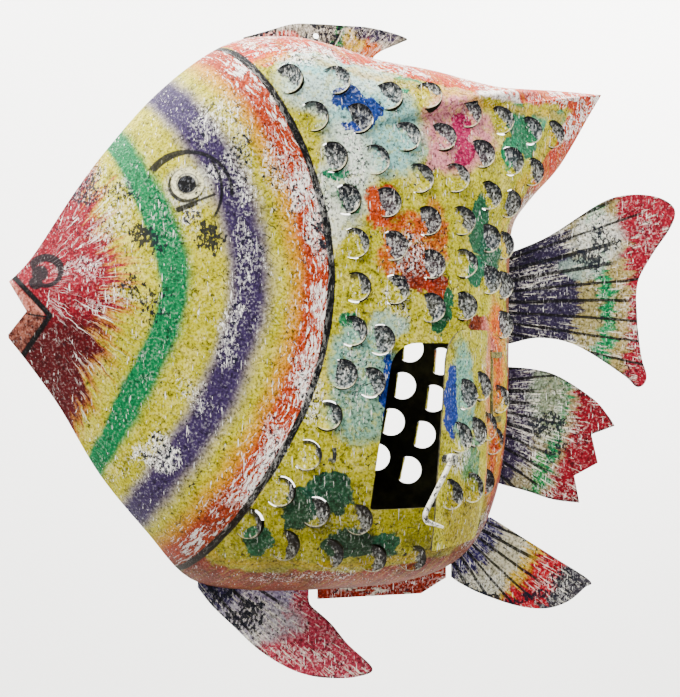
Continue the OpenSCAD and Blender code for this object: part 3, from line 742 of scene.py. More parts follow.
def strokeLine(x, z, start, end, half, soft=0.5):
    # nearness to a straight stroke
    dx, dz = end[0] - start[0], end[1] - start[1]
    size = dx * dx + dz * dz
    t = x.board.node("ShaderNodeClamp", None, {0: ((x - start[0]) * dx + (z - start[1]) * dz) / size})
    gapX, gapZ = x - start[0] - t * dx, z - start[1] - t * dz
    return 1 - step((gapX * gapX + gapZ * gapZ) ** 0.5, half - soft, half + soft)


def angleOf(x, z):
    return x.reckon("ARCTAN2", z, x)


# the painted face: places as x and z, then radius or half width, then softness or colour
face = dict(halo=(-91, -110, 13.5, 3.0), whole=(-92, -108, 10.5), socket=(-92.3, -108.6, 10.8, 0.5),
            iris=(-91.6, -107.6), irisRings=((9.6, "e2dfc4"), (6.6, "7c7c78"), (6.1, "cfcdbd")),
            pupil=(-92, -108, 5.5, 0.4),
            brow=(-91, -113.5, 25.5), cheek=(-102, -112, 30.5, 0.9), swirl=(-175.5, -160.5, 9.0),
            blobs=((-179, -161.5, 5.2), (-181.5, -167.5, 4.4)),
            lids=(((-98, -123), (-76, -114.5), 0.9), ((-97, -124), (-87, -120), 1.5)),
            lips=(((-203, -166), (-181, -187), 4.6, "a8746a", "c9998f"),
                  ((-183, -191), (-199, -210), 6.6, "7e534b", "a57a6e")),
            lipLines=(((-197, -161), (-173, -188), 1.7, 0.5), ((-173, -188), (-190, -214), 1.7, 0.5),
                      ((-186, -187), (-174, -189), 0.6, 0.4)))


def arcLine(x, z, place, half, soft=0.4):
    cx, cz, radius = place
    return 1 - step(abs(awayFrom(x, z, cx, cz) - radius), half - soft, half + soft)


def paintFace(board, colour, x, z, wear):
    # eye with its worn halo and lids, nostril and lips; also returns where ink lies
    halo = disc(x, z, *face["halo"]) * step(wear["salt"] + wear["fine"][0] * 0.3, 0.56, 0.66)
    colour = board.mix(halo * 0.85, colour, coat("d9d8cc"))
    socket = disc(x, z, *face["socket"]) * (0.55 + step(x * 0.6 + z, -158, -168) * 0.4)
    colour = board.mix(socket, colour, coat("26272a"))
    for radius, code in face["irisRings"]:
        colour = board.mix(disc(x, z, *face["iris"], radius, 0.4), colour, coat(code))
    pupil = board.mix(step(wear["salt"], 0.52, 0.62), coat("1d1e22"), coat("77787c"))
    colour = board.mix(disc(x, z, *face["pupil"]), colour, pupil)
    drawn = (arcLine(x, z, face["brow"], 1.1 + step(x, -84, -104) * 1.3)
             * step(z + x * 0.35, -140, -137))
    drawn = larger(drawn, arcLine(x, z, face["cheek"][:3], face["cheek"][3], 0.5)
                   * step(x, -80, -77) * step(z, -134, -126))
    for start, end, half in face["lids"]:
        drawn = larger(drawn, strokeLine(x, z, start, end, half))
    for blob in face["blobs"]:
        drawn = larger(drawn, disc(x, z, *blob))
    drawn = larger(drawn, arcLine(x, z, face["swirl"], 1.5 + step(z, -164, -154) * 1.2)
                   * step(x * 0.9 + z * 0.3, -214.5, -212.5))
    colour = board.mix(drawn * 0.96, colour, coat("20222a"))
    shade, lips, line = step(wear["tone"], 0.4, 0.6), 0.0, 0.0
    for start, end, half, low, high in face["lips"]:
        lip = strokeLine(x, z, start, end, half, 0.7)
        colour = board.mix(lip, colour, board.mix(shade, coat(low), coat(high)))
        lips = larger(lip, lips)
    for start, end, half, soft in face["lipLines"]:
        line = larger(strokeLine(x, z, start, end, half, soft), line)
    colour = board.mix(line, colour, coat("171518"))
    return colour, larger(larger(drawn, line), larger(disc(x, z, *face["whole"]), lips * 0.6))


# bands round the mouth: inner and outer radius, softness of both and colour
headBands = ((79, 98, 3, 5, "greenPale"), (80, 96, 1.2, 2.5, "green"), (120, 147, 4, 6, "purplePale"),
             (124, 143, 3, 4, "purple"), (158, 184, 7, 2, "orangePale"), (166, 184, 4, 2, "orange"))


def paintScales(board, colour, z, wear):
    # bare speckled zinc in the dish, some of the paint left, soot on the bare zinc, painted shade under the
    # upper rim and toward the top of each scale, and a rim with a painted highlight below and painted shade
    # above
    lift, side, own, edge = (board.held(key) for key in ("flapLift", "flapSide", "flapTone", "flapEdge"))
    fine, salt = wear["fine"], wear["salt"]
    onFlap = step(lift, 0.01, 0.05)
    spare = (fine[0] - 0.5) * 0.9 + (wear["wander"][2] - 0.5) * 0.6
    kept = 0.66 - own * 0.85 + step(z, -225, -285) * 0.4
    bare = step(lift + side * 0.35 + spare, kept, kept + 0.08)
    zinc = board.mix(step(salt * 0.5 + wear["grit"] * 0.5, 0.42, 0.6), coat("484b53"), coat("a0a3a4"))
    colour = board.mix(bare * onFlap * 0.95, colour, zinc)
    # painted shade: a dark crescent inside the upper part of the rim, where the raised edge would shade the
    # dish
    lip = (1 - step(edge + (fine[1] - 0.5) * 5, 1.6, 4.6)) * step(side, -0.35, 0.45)
    # soot on the bare zinc of some scales, which also darkens toward the top of each scale as painted shade
    sootAndShade = step((fine[2] - 0.5) * 1.6 + own * 0.5 + side * 0.3, 0.52, 0.62)
    colour = board.mix(larger(lip * 0.9, sootAndShade * bare * 0.8) * onFlap, colour, coat("2b2e38"))
    colour = board.mix(step(salt, 0.6, 0.63) * onFlap * (0.85 - lip * 0.7), colour, coat("efede4"))
    # the rim: cream on its lower side as a worn painted highlight, dark on its upper side as painted shade
    rim = (1 - step(edge + (fine[0] - 0.5) * 1.4, 0.45, 0.8)) * onFlap
    rimHighlightAndShade = board.mix(step(side, -0.05, -0.5), coat("2a2c34"), coat("d6d2bc"))
    return board.mix(rim * 0.85, colour, rimHighlightAndShade), onFlap


def fishPaint(name, onDoor=False):
    material, board, shader = newFinish(name)
    if onDoor:
        place = board.held("closedPlace", out=1)
    else:
        place = board.here()
    x, y, z = (part * 1000 for part in board.split(place))
    wear = brushed(board, place)
    wx = x + (wear["wander"][0] - 0.5) * 8 + (wear["fine"][1] - 0.5) * 4
    wz = z + (wear["wander"][1] - 0.5) * 8 + (wear["fine"][2] - 0.5) * 4
    tone = board.grain(place, 90, 4, 0.7)
    colour = board.mix(step(tone, 0.46, 0.68), coat(paint["olive"]), coat(paint["oliveLight"]))
    colour = board.mix(step(tone, 0.46, 0.32) * 0.6, colour, coat(paint["oliveDark"]))
    streak, held, rub, chip, shadeAndGrime = None, 0.0, 0.0, 0.0, 0.12
    if onDoor:
        colour = dab(colour, x, z, wear, doorDabs)
        rub = spread(x, z, wear, [(48, -270, 10, 12, 0.8), (92, -240, 8, 40, 0.4)])
    else:
        # rings painted round the mouth, straightening toward the back and the belly
        dx, dz = wx - float(scaleCentre[0]), wz - float(scaleCentre[1])
        angle = angleOf(dx, dz)
        ring = (dx * dx + dz * dz) ** 0.5 - 18 * (abs(angle) / 1.01) ** 4
        fan = board.grain(board.join(angle * 9, ring * 0.012, 0.0), 1.0, 4, 0.7)
        hair = board.grain(board.join(angle * 46, ring * 0.03, 0.0), 1.0, 3, 0.6)
        along = board.grain(board.join(angle * 7, ring * 0.5, 0.0), 1.0, 3, 0.6)
        # painted shade: the nose is darker below the fold, where the head turns down from the light
        dark = board.mix(step(z, -196, -184), coat("70202c"), coat("963446"))
        reachOut = ring + (fan - 0.5) * 70 + (hair - 0.5) * 46
        colour = board.mix((1 - step(reachOut, 54, 70)) * 0.7, colour, coat(paint["pinkNose"]))
        colour = board.mix(1 - step(reachOut, 50, 58), colour, dark)
        for low, high, inner, outer, code in headBands:
            inside = step(ring, low - inner, low + inner) * (1 - step(ring, high - outer, high + outer))
            colour = board.mix(inside * (0.75 if "Pale" in code else 1.0), colour, coat(paint[code]))
        behind = step(ring, 185.5, 186.5)
        colour = board.mix(behind, colour, dab(colour, x, z, wear, dabs))
        # orange stripe along the seam
        rim = board.held("rimGap")
        edge = (9.5 + 10 * step(z, -280, -345)
                + 12 * step(z, -130, -70) * (1 - step(x, 50, 150) * 0.5)
                + (wear["wander"][0] - 0.5) * 20 + (wear["fine"][0] - 0.5) * 8)
        stripe = (1 - step(rim, edge - 1.5, edge + 1.5)) * behind
        red = board.mix(step(z, -150, -90), coat("9c3512"), coat("c04828"))
        red = board.mix(step(x, 92, 118) * step(z, -225, -205) * step(z, -92, -104), red,
                        coat("96604c"))
        colour = board.mix(stripe * 0.72 + stripe * step(along, 0.4, 0.5) * 0.25, colour, red)
        mosaic = larger(step(abs(wear["fine"][2] - 0.5), 0.035, 0.02),
                        step(wear["clump"], 0.57, 0.6)) * step(z, -150, -90)
        colour = board.mix(stripe * mosaic * step(wear["wander"][1], 0.46, 0.52) * 0.85, colour,
                           coat(paint["white"]))
        colour = board.mix(band(rim, edge + 3, edge + 8, 2) * behind * 0.6, colour, coat("d2b856"))
        rub = larger(spread(x, z, wear, rubbed), stripe * step(wear["wander"][2], 0.52, 0.64) * 0.4)
        chip = spread(x, z, wear, chipped)
        bandEdge = band(ring, 171, 183, 5) * step(wear["wander"][1], 0.4, 0.58)
        dash = board.grain(board.join(angle * 26, ring * 0.62, 0.0), 1.0, 3, 0.7)
        rub = larger(rub, bandEdge * 0.25)
        streak = larger(step(hair, 0.585, 0.63) * (1 - step(ring, 40, 85)) * step(ring, 14, 26)
                        * step(wear["clump"], 0.45, 0.57),
                           step(dash + bandEdge * 0.1 + step(ring, 164, 184) * 0.05, 0.6, 0.63)
                           * band(ring, 160, 184, 3))
        # painted shade: the lower body darkens toward the bottom, standing in for the underside turned away
        # from the light
        shadeAndGrime = ((step(z, -250, -330) * 0.58 + step(z, -322, -362) * 0.22) * (1 - stripe * 0.2)
                 * (0.75 + step(wear["clump"], 0.4, 0.6) * 0.3) * step(ring, 120, 190))
        # gill line
        px, pz = x - float(scaleCentre[0]), z - float(scaleCentre[1])
        steady = (px * px + pz * pz) ** 0.5 - 18 * (abs(angleOf(px, pz)) / 1.01) ** 4
        wide = 2.4 + (wear["wander"][0] - 0.5) * 2.4
        thin = 1 - step(abs(steady + (wear["wander"][1] - 0.5) * 3 - 184.3), wide - 0.4, wide + 0.4)
        colour = board.mix(thin, colour, coat(paint["ink"]))
        colour, inked = paintFace(board, colour, x, z, wear)
        held = larger(thin * 0.8, inked * 0.85)
    colour, onFlap = paintScales(board, colour, z, wear)
    rub, chip = rub * (1 - onFlap * 0.7), chip * (1 - onFlap * 0.5)
    wearDown(board, shader, colour, wear, rub, chip, streak, held, shadeAndGrime)
    return material


def darkInside():
    material, board, shader = newFinish("sootyInside")
    place = board.here()
    soot = board.grain(place, 45, 4, 0.65)
    colour = board.mix(step(soot, 0.4, 0.7), coat("4c4b3c"), coat("6e6c55"))
    bump = board.node("ShaderNodeBump", None, {"Strength": 0.4, "Distance": 0.0008,
                                               "Height": board.grain(place, 160, 4, 0.6)})
    feed(board, shader, colour=colour, roughness=0.75 + soot * 0.2, normal=bump, gloss=0.15)
    return material


def cutEdge():
    material, board, shader = newFinish("chiselledEdge")
    place = board.here()
    rust = board.grain(place, 300, 3, 0.6)
    colour = board.mix(step(rust, 0.4, 0.65), coat("2a261e"), coat("7d7759"))
    feed(board, shader, colour=colour, roughness=0.6 + rust * 0.2, metallic=0.2)
    return material


def wireFinish(name, code, worn, share=0.5):
    material, board, shader = newFinish(name)
    place = board.here()
    drawn = board.grain(board.mapped(place, scale=(1, 1, 0.2)), 900, 3, 0.6)
    rub = board.grain(place, 330, 4, 0.75)
    colour = board.mix(step(rub, share - 0.04, share + 0.05), coat(code), coat(worn))
    bump = board.node("ShaderNodeBump", None, {"Strength": 0.3, "Distance": 0.0003, "Height": drawn})
    feed(board, shader, colour=colour, roughness=0.45 + rub * 0.3, normal=bump, metallic=0.25)
    return material


print("paints")
bodyPaint = fishPaint("bodyPaint")
doorPaint = fishPaint("doorPaint", onDoor=True)
soot, chiselled = darkInside(), cutEdge()

# Halves of the body
print("halves")
punch, punchKeys = punchTree()
raised, raisedKeys = raiseTree()
cutter = cutterPiece()
nearFlap = flapPiece("nearFlap", 10.0, 26.0, 1.0)
farFlap = flapPiece("farFlap", 108.0, 140.0, 0.2)
skinMaterials = [bodyPaint, soot, chiselled]


def edgeGap(points, line):
    best = np.full(len(points), 1e9)
    for a, b in zip(line, np.roll(line, -1, axis=0)):
        e = b - a
        t = np.clip(((points - a) @ e) / max(e @ e, 1e-9), 0, 1)
        best = np.minimum(best, np.linalg.norm(points - a - t[:, None] * e, axis=1))
    return best


def rimMark(piece):
    places = placesOf(piece) * 1000
    mark(piece, "rimGap", edgeGap(places[:, [0, 2]], seam))


def punchAndRaise(sheet, cloud, flap, sizeJitter, seed, finish):
    # a hole for every place of the cloud, then a scale in each
    runTree(sheet, punch, punchKeys, {"Cutter": cutter, "Places": cloud, "Cut size": 1.0, "Edge": chiselled})
    runTree(cloud, raised, raisedKeys, {"Flap": flap, "Size jitter": sizeJitter,
                                        "Tilt jitter": scales["tiltJitter"], "Root": scales["root"],
                                        "Seed": seed, "Finish": finish})


def buildHalf(name, runs, near, flap, scaleSeed):
    inset = body["inset"]
    points, faces, slots = dentedSkin(-inset, -inset - body["sheet"], 0.0, -body["rim"])
    half = makePiece(name, points, faces, slots, skinMaterials)
    carve(half, prismPiece("mouthCut", mouthOutline(), -80, 5, chiselled))
    if near:
        carve(half, prismPiece("wayCut", doorOutline(0, 0, 0), -80, -30, chiselled))
    cloud = placeCloud(name + "Places", runScales(runs))
    punchAndRaise(half, cloud, flap, scales["sizeJitter"] if near else 0.0, scaleSeed, bodyPaint)
    cloud.name = name + "Scales"
    for piece in (half, cloud):
        if not near:
            mirrorY(piece)
        rimMark(piece)
    softEdges(half, creases["skin"])
    return half, cloud


nearHalf, nearScales = buildHalf("nearHalf", scales["nearRuns"], True, nearFlap, scales["seed"])
farHalf, farScales = buildHalf("farHalf", scales["farRuns"], False, farFlap, scales["seed"] + 20)
for half, scaleSet, node in ((nearHalf, nearScales, "near_shell"), (farHalf, farScales, "far_shell")):
    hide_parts(node)
    for piece in (half, scaleSet):
        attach(piece, "body")

# Door, drawn closed and then swung ajar
print("door")
swing = (Matrix.Translation(Vector(hinge * mm)) @ Matrix.Rotation(math.radians(door["ajar"]), 4, "Z")
         @ Matrix.Translation(Vector(-hinge * mm)))
lidOuter = door["gap"] + body["sheet"]
points, faces, slots = dentedSkin(lidOuter - body["inset"], door["gap"] - body["inset"],
                                  lidOuter, door["gap"])
doorLeaf = makePiece("doorLeaf", points, faces, slots, [doorPaint, soot, chiselled])
carve(doorLeaf, prismPiece("doorCut", doorOutline(door["sideLap"], door["topLap"], door["bottomLap"]),
                           -90, -20, chiselled), "INTERSECT")
doorFound = []
for shareX, shareZ in scales["onDoor"]:
    place = np.array([wayHead + shareX * door["width"], wayLow + shareZ * door["height"]])
    across, up = place - scaleCentre
    doorFound.append((place, math.degrees(math.atan(up / across)) / 2))
doorScales = placeCloud("doorScales", doorFound, lidOuter)
punchAndRaise(doorLeaf, doorScales, nearFlap, scales["sizeJitter"], scales["seed"] + 40, doorPaint)
for piece in (doorLeaf, doorScales):
    mark(piece, "closedPlace", placesOf(piece), "FLOAT_VECTOR")
    piece.data.transform(swing)
    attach(piece, "door")
softEdges(doorLeaf, creases["skin"])
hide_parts("door_panel")
for tool in (cutter, nearFlap, farFlap):
    bpy.data.objects.remove(tool)

# Fins
print("fins")
# root: x and z as shares of the fin's size, and which way its tongue runs under the skin
fins = dict(
    tail=dict(
        node="tail_fin", slot="tail_paint", corner=lies(0.831, 0.365), size=(126.0, 137.0),
        outline=[(0, 0.686), (0.23, 0.775), (0.55, 0.955), (0.73, 1), (0.9, 0.99), (1, 0.93), (0.97, 0.83),
            (0.855, 0.685), (0.77, 0.54), (0.765, 0.36), (0.79, 0.17), (0.825, 0.05), (0.77, 0),
            (0.68, 0.065), (0.4, 0.215), (0.18, 0.255), (0, 0.226)],
        root=[(0, 0.226, -1, 0), (0, 0.686, -1, 0)], focus=(45, -178), aim=0.02, spread=0.078, inner=95,
        outer=205,
        bands=[(0, 143, "4a425c"), (143, 160, "a8a07a"), (160, 172, "3f9a70"), (172, 184, "b3a67c"),
            (184, 300, "a64656")],
        dabs=[(203, -131, 22, 20, "c9cbc4", 0.5), (190, -152, 18, 9, "a5b4ac", 0.5)],
        rubs=[(200, -128, 24, 22, 0.9), (158, -160, 16, 9, 0.7), (224, -190, 10, 24, 0.5),
            (222, -118, 9, 12, 0.4), (196, -208, 22, 7, 0.6), (142, -180, 4, 30, 0.5)],
        chips=[(196, -150, 16, 10, 1.0), (208, -132, 14, 12, 0.7), (160, -150, 12, 6, 0.5)]),
    anal=dict(
        node="anal_fin", slot="anal_paint", corner=lies(0.826, 0.146), size=(81.0, 96.0),
        outline=[(0, 1), (0.25, 0.98), (0.48, 0.925), (0.8, 0.76), (0.93, 0.645), (1, 0.56)],
        torn=[(0.778, 0.5), (0.84, 0.29), (0.617, 0.2)],
        lower=[(0.667, 0), (0.42, 0.03), (0.185, 0.095), (-0.037, 0.147), (-0.1, 0.167)],
        root=[(-0.1, 0.167, -1, 0), (0, 1, -1, 0)], focus=(62, -238), aim=-0.3, spread=0.1, inner=78,
        outer=122,
        bands=[(0, 100, "574c66"), (100, 112, "a39c84"), (112, 120, "3a9068"), (120, 126, "a8987c"),
            (126, 300, "962f42")],
        dabs=[(166, -240, 14, 30, "8f9a86", 0.6), (158, -296, 6, 16, "2a8f5c", 0.3)],
        rubs=[(150, -262, 12, 34, 0.7), (176, -262, 14, 20, 0.6), (180, -236, 16, 6, 0.6),
            (168, -300, 12, 14, 0.5)],
        chips=[(168, -262, 16, 8, 0.8), (176, -284, 12, 7, 0.7)]),
    dorsal=dict(
        node="dorsal_fin", slot="dorsal_paint", corner=np.array([-49.0, -14.0]), size=(112.0, 22.0),
        outline=[(0, 0.455), (0.134, 0.68), (0.295, 0.95), (0.44, 1), (0.6, 1), (0.74, 1), (0.875, 0.91),
            (1, 0.73), (0.964, 0.59), (0.85, 0.32), (0.8, 0.136), (0.786, 0)],
        root=[(0.786, 0, 0, -1), (0, 0.455, 0, -1)], focus=(-30, -80), aim=0.9, spread=0.16, inner=84,
        outer=104,
        bands=[(0, 400, "a9a79c")],
        dabs=[(-22, -2, 16, 5, "d77a72", 0.5), (-8, -6, 16, 5, "dd9a90", 0.5),
            (15, -4, 4, 14, "2f8f5a", 0.2), (32, -8, 13, 9, "c77b34", 0.4), (26, -4, 8, 7, "cfc06a", 0.4),
            (44, 4, 22, 6, "453a66", 0.3)],
        rubs=[(-30, -2, 16, 8, 0.9), (8, 0, 22, 8, 0.8), (44, 3, 18, 6, 0.5)],
        chips=[(-10, 7, 36, 2, 1.0), (5, -2, 14, 5, 0.8), (-36, 1, 8, 5, 0.6), (40, 6, 16, 3, 0.7)]),
    frontVentral=dict(
        node="front_ventral_fin", slot="front_fin_paint", corner=lies(0.299, 0.0189) - np.array([0, 65.0]),
        size=(118.0, 65.0),
        outline=[(0, 1), (0.076, 0.815), (0.21, 0.57), (0.34, 0.34), (0.49, 0.154), (0.627, 0.046),
            (0.77, 0), (0.907, 0), (1, 0.077), (0.856, 0.34), (0.754, 0.57), (0.644, 0.754), (0.627, 0.83)],
        root=[(0.627, 0.9, 0, 1), (0, 1, 0, 1)], focus=(-112, -318), aim=-0.72, spread=0.13, inner=60,
        outer=112,
        bands=[(0, 78, "5e5878"), (78, 112, "a49cb0"), (112, 240, "b4606f")],
        dabs=[(-36, -390, 26, 14, "b9b4b8", 0.6)],
        rubs=[(-44, -388, 26, 18, 0.95), (-8, -412, 18, 8, 0.8), (-18, -372, 10, 12, 0.5)],
        chips=[(-48, -386, 18, 9, 0.9), (-66, -366, 10, 6, 0.8)]),
    rearVentral=dict(
        node="rear_ventral_fin", slot="rear_fin_paint", corner=lies(0.7255, 0.1243) - np.array([0, 65.0]),
        size=(103.0, 65.0),
        outline=[(0.28, 1), (0.466, 0.815), (0.728, 0.554), (1, 0.277), (0.96, 0.2), (0.835, 0.06),
            (0.67, 0), (0.466, 0.046), (0.223, 0.185), (0.068, 0.31), (0, 0.385)],
        root=[(0, 0.48, 0, 1), (0.28, 1, -1, 0)], focus=(70, -306), aim=-0.52, spread=0.11, inner=52,
        outer=118,
        bands=[(0, 68, "5a5280"), (68, 92, "cdc8b2"), (92, 100, "cdb768"), (100, 122, "b02c44"),
            (122, 240, "57545c")],
        dabs=[(112, -372, 22, 8, "c9c7b4", 0.5)],
        rubs=[(112, -368, 26, 10, 0.95), (122, -346, 18, 14, 0.5), (176, -374, 12, 10, 0.8)],
        chips=[(112, -374, 24, 5, 1.0), (150, -384, 20, 4, 0.9), (178, -372, 10, 7, 0.7)]))


finShape = dict(tang=7.0, thick=1.2, spacing=1.7, hole=2.0, holeSteps=24, edgeThin=0.22, furrow=0.28,
                waves=(26, 7))


def finOutline(fin):
    corner, size = fin["corner"], np.array(fin["size"])

    def at(shares):
        return [corner + np.array(p) * size for p in shares]
    line = smoothLine(at(fin["outline"]), 8) + at(fin["outline"][-1:])
    if "torn" in fin:
        line += at(fin["torn"]) + smoothLine(at(fin["lower"]), 6) + at(fin["lower"][-1:])
    return line + [corner + np.array([x, z]) * size + np.array([sideways, up]) * finShape["tang"]
                   for x, z, sideways, up in fin["root"]]


def inOutline(points, line):
    x, z = points[:, 0], points[:, 1]
    inside = np.zeros(len(points), bool)
    for a, b in zip(line, np.roll(line, -1, axis=0)):
        crosses = (a[1] > z) != (b[1] > z)
        inside ^= crosses & (x < (b[0] - a[0]) * (z - a[1]) / (b[1] - a[1] + 1e-12) + a[0])
    return inside


def raysAt(fin, points):
    # hammered furrows that fan out from the root, and where they run
    fx, fz = fin["focus"]
    dx, dz = points[:, 0] - fx, points[:, 1] - fz
    far, angle = np.hypot(dx, dz), np.arctan2(dz, dx) - fin["aim"]
    wave = angle / fin["spread"]
    gap = np.abs(wave - np.round(wave)) * fin["spread"] * far
    run = ease(fin["inner"] - 12, fin["inner"], far) * (1 - ease(fin["outer"] - 10, fin["outer"] + 25, far))
    return np.exp(-(gap / 1.3) ** 2) * run


def finPlate(label, fin):
    thick, spacing, holeRadius = finShape["thick"], finShape["spacing"], finShape["hole"]
    corners = np.array(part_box(fin["node"])) / mm
    line = np.clip(np.array(finOutline(fin)), corners[0][[0, 2]], corners[1][[0, 2]])
    keep = [0]
    for i in range(1, len(line)):
        if np.linalg.norm(line[i] - line[keep[-1]]) > 0.3:
            keep.append(i)
    line = line[keep]
    low, high = line.min(0), line.max(0)
    rows = enumerate(np.arange(low[1], high[1], spacing * 0.87))
    grid = np.array([(x + (spacing / 2 if k % 2 else 0), z) for k, z in rows
                     for x in np.arange(low[0], high[0], spacing)])
    grid = grid[inOutline(grid, line)]
    grid = grid[edgeGap(grid, line) > spacing * 0.55]
    hole = []
    if fin["node"] == "dorsal_fin":  # hanging hole
        turns = np.linspace(0, 2 * math.pi, finShape["holeSteps"], endpoint=False)
        hole = [(holeRadius * math.cos(a), holeRadius * math.sin(a)) for a in turns]
        grid = grid[np.hypot(grid[:, 0], grid[:, 1]) > holeRadius + 0.7]
    every = [Vector(p) for p in line] + [Vector(p) for p in hole] + [Vector(p) for p in grid]
    n, h = len(line), len(hole)
    edges = [(i, (i + 1) % n) for i in range(n)] + [(n + i, n + (i + 1) % h) for i in range(h)]
    flat, _, tris, *_ = delaunay_2d_cdt(every, edges, [], 0, 1e-4)
    flat = np.array([tuple(p) for p in flat])
    middles = np.array([flat[list(t)].mean(0) for t in tris])
    good = inOutline(middles, line)
    if hole:
        good &= np.hypot(middles[:, 0], middles[:, 1]) > holeRadius * math.cos(math.pi / len(hole)) * 0.99
    tris = [t for t, ok in zip(tris, good) if ok]
    gap = edgeGap(flat, line)
    share, _ = shareAt(flat[:, 0], flat[:, 1])
    free = ease(1.0, 1.06, share)
    long, short = finShape["waves"]
    wave = free * np.array([noise.noise((x / long, 1.7, z / long)) * 0.5
                            + noise.noise((x / short, 9.1, z / short)) * 0.12 for x, z in flat])
    furrow = raysAt(fin, flat) * finShape["furrow"] * free
    thin = finShape["edgeThin"] * np.exp(-(gap / 0.8) ** 2)
    count = len(flat)
    relief = wave + furrow * 0.8
    points = np.concatenate([np.stack([flat[:, 0], side * (thick / 2 - thin) + relief, flat[:, 1]], 1)
                             for side in (-1, 1)])
    faces = []
    for tri in tris:
        a, b, c = flat[tri[0]], flat[tri[1]], flat[tri[2]]
        turn = (b[0] - a[0]) * (c[1] - a[1]) - (b[1] - a[1]) * (c[0] - a[0])
        order = tuple(tri) if turn > 0 else tuple(tri)[::-1]
        faces += [order, tuple(count + i for i in order[::-1])]
    rimEdges = {}
    for tri in faces[::2]:
        for i in range(3):
            rimEdges[(tri[i], tri[(i + 1) % 3])] = True
    for a, b in list(rimEdges):
        if (b, a) not in rimEdges:
            faces.append((b, a, count + a, count + b))
    plate = makePiece(label, points, faces, None, [finPaint(label + "Paint", fin)])
    mark(plate, "finRim", np.clip(2 - np.concatenate([gap, gap]), 0, 2))
    return plate


def finPaint(name, fin):
    material, board, shader = newFinish(name)
    place = board.here()
    x, y, z = (part * 1000 for part in board.split(place))
    wear = brushed(board, place)
    fx, fz = fin["focus"]
    dx, dz = x - fx, z - fz
    clean = (dx * dx + dz * dz) ** 0.5
    angle = angleOf(dx, dz) - fin["aim"]
    brush = board.grain(board.join(angle * 40, clean * 0.035, 0.0), 1.0, 3, 0.65)
    stray = board.grain(board.join(angle * 95 + 7.0, clean * 0.06, 0.0), 1.0, 3, 0.7)
    far = clean + (wear["wander"][0] - 0.5) * 22 + (brush - 0.5) * 34
    colour = coat(fin["bands"][0][2])
    for start, end, code in fin["bands"][1:]:
        colour = board.mix(step(far, start - 2.5, start + 2.5), colour, coat(code))
    colour = dab(colour, x, z, wear, fin.get("dabs", []))
    waves = angle / fin["spread"] + (wear["wander"][1] - 0.5) * 0.3
    nearest = waves.reckon("ROUND", waves)
    gap = abs(waves - nearest) * fin["spread"] * clean
    each = board.node("ShaderNodeTexWhiteNoise", dict(noise_dimensions="1D"), {"W": nearest}, out=0)
    stop = fin["outer"] - 34 * each
    run = step(clean, fin["inner"] - 12, fin["inner"] - 4) * (1 - step(clean, stop - 6, stop + 6))
    wide = 0.6 + 0.6 * each + (wear["fine"][1] - 0.5) * 0.8
    ray = (1 - step(gap, wide, wide + 0.5)) * run
    rub = larger(spread(x, z, wear, fin.get("rubs", [])) * 0.8,
                 0.3 * step(wear["clump"], 0.44, 0.56))
    combed = step(stray + rub * 0.13 + (brush - 0.5) * 0.3, 0.62, 0.66)
    colour = board.mix(combed * 0.8, colour, coat("e9e6da"))
    colour = board.mix(ray * 0.95, colour, coat(paint["ink"]))
    rimLine = step(board.held("finRim"), 0.4, 1.3) * step(wear["wander"][2], 0.44, 0.5)
    colour = board.mix(rimLine * 0.75, colour, coat("3c3a3c"))
    chip = spread(x, z, wear, fin.get("chips", []))
    wearDown(board, shader, colour, wear, rub * 0.7, chip, None, ray * 0.7)
    return material


for label, fin in fins.items():
    plate = finPlate(label + "Fin", fin)
    softEdges(plate, creases["fin"])
    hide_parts(fin["node"])
    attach(plate, "body")

# Small fittings keep their solids and take a worn finish
print("fittings")
stripFin = dict(node="belly_strip", focus=(-300, -380), aim=0.0, spread=0.1, inner=900, outer=901,
                bands=[(0, 900, "a8482a")], rubs=[(44, -372, 22, 5, 0.7), (76, -366, 14, 6, 0.7)])
fittings = dict(belly_strip=finPaint("stripPaint", stripFin),
                candle_floor=soot, candle_cup=soot,
                upper_hinge_loop=wireFinish("loopPaint", "6f6a3c", "a9a26a"),
                hinge_wire=wireFinish("dullWire", "4a443a", "8a8272"),
                catch_peg=wireFinish("pegFinish", "1d1e20", "8d8f88"),
                hook_rivet=wireFinish("rivetFinish", "191a1c", "c9c9c0"),
                latch_hook=wireFinish("hookFinish", "3a3936", "e4e2d8", 0.46))
fittings["lower_hinge_loop"] = fittings["door_hinge_sleeve"] = fittings["upper_hinge_loop"]
for node, finish in fittings.items():
    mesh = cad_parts[node].data
    mesh.materials.clear()
    mesh.materials.append(finish)

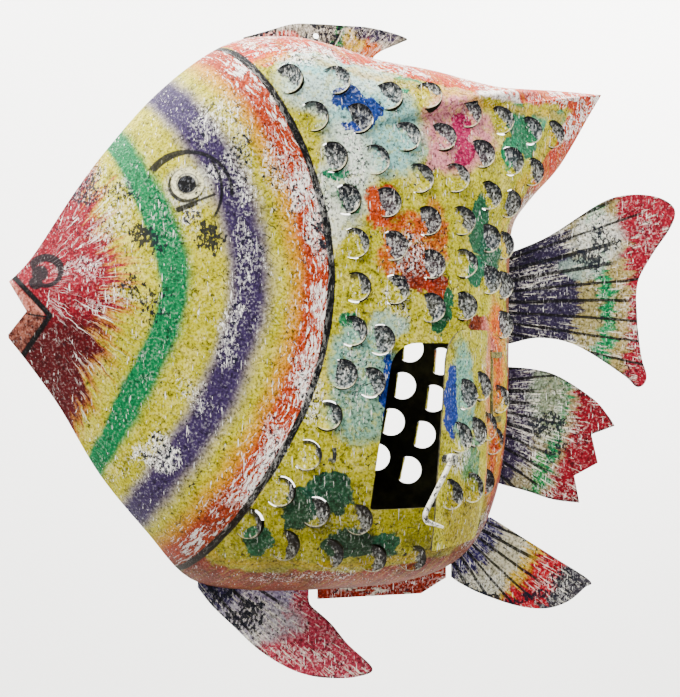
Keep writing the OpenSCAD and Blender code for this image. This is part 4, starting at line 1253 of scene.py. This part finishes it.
# Camera, light and a pale studio
print("studio")
studio = dict(yaw=14.0, distance=0.83, target=(0.0165, 0, -0.2084), lens=65.58, floor=-1.6, back=1.3,
              room=3.2, bend=0.7, wall="f6f5f2", world=("e8e8ea", 0.36),
              # place, size, watts, colour and what it is turned to, or None for the fish
              lamps=[((-1.0, -1.5, 1.6), 0.45, 104, "fffaf2", None),
                     ((1.6, -1.5, 0.6), 1.2, 16, "f4f6ff", None),
                     ((0.1, -0.5, 1.8), 1.0, 46, "ffffff", None),
                     ((-0.7, 0.35, 1.0), 1.2, 96, "ffffff", (-0.2, 1.3, -0.3)),
                     ((1.1, 0.35, 0.6), 1.2, 96, "ffffff", (0.8, 1.3, -0.3))])


def backdrop():
    # floor that runs up into a wall behind
    run = [(-studio["room"], studio["floor"])]
    for a in np.linspace(-90, 0, 16):
        run.append((studio["back"] - studio["bend"] + studio["bend"] * math.cos(math.radians(a)),
                    studio["floor"] + studio["bend"] + studio["bend"] * math.sin(math.radians(a))))
    run.append((studio["back"], studio["room"]))
    points = [(side * studio["room"] / mm, y / mm, z / mm) for y, z in run for side in (-1, 1)]
    faces = [(2 * i, 2 * i + 1, 2 * i + 3, 2 * i + 2) for i in range(len(run) - 1)]
    material, board, shader = newFinish("paleCard")
    feed(board, shader, colour=hue(studio["wall"]), roughness=0.9)
    card = makePiece("backdrop", points, faces, None, [material])
    card.data.shade_smooth()


backdrop()
for i, (spot, size, power, code, aim) in enumerate(studio["lamps"]):
    lamp = bpy.data.lights.new(f"lamp{i}", "AREA")
    lamp.energy, lamp.size, lamp.color = power, size, hue(code)[:3]
    holder = bpy.data.objects.new(f"lamp{i}", lamp)
    holder.location = spot
    toward = Vector(aim or studio["target"]) - Vector(spot)
    holder.rotation_euler = toward.to_track_quat("-Z", "Y").to_euler()
    bpy.context.scene.collection.objects.link(holder)
world = bpy.data.worlds.new("softRoom")
world.use_nodes = True
glow = world.node_tree.nodes["Background"]
glow.inputs[0].default_value, glow.inputs[1].default_value = hue(studio["world"][0]), studio["world"][1]
bpy.context.scene.world = world
view = bpy.data.cameras.new("photoView")
view.lens, view.sensor_width, view.sensor_fit = studio["lens"], 36.0, "HORIZONTAL"
eye = bpy.data.objects.new("photoView", view)
turn = math.radians(studio["yaw"])
ahead = Vector((math.sin(turn), math.cos(turn), 0))
eye.location = Vector(studio["target"]) - ahead * studio["distance"]
eye.rotation_euler = ahead.to_track_quat("-Z", "Y").to_euler()
bpy.context.scene.collection.objects.link(eye)
bpy.context.scene.camera = eye
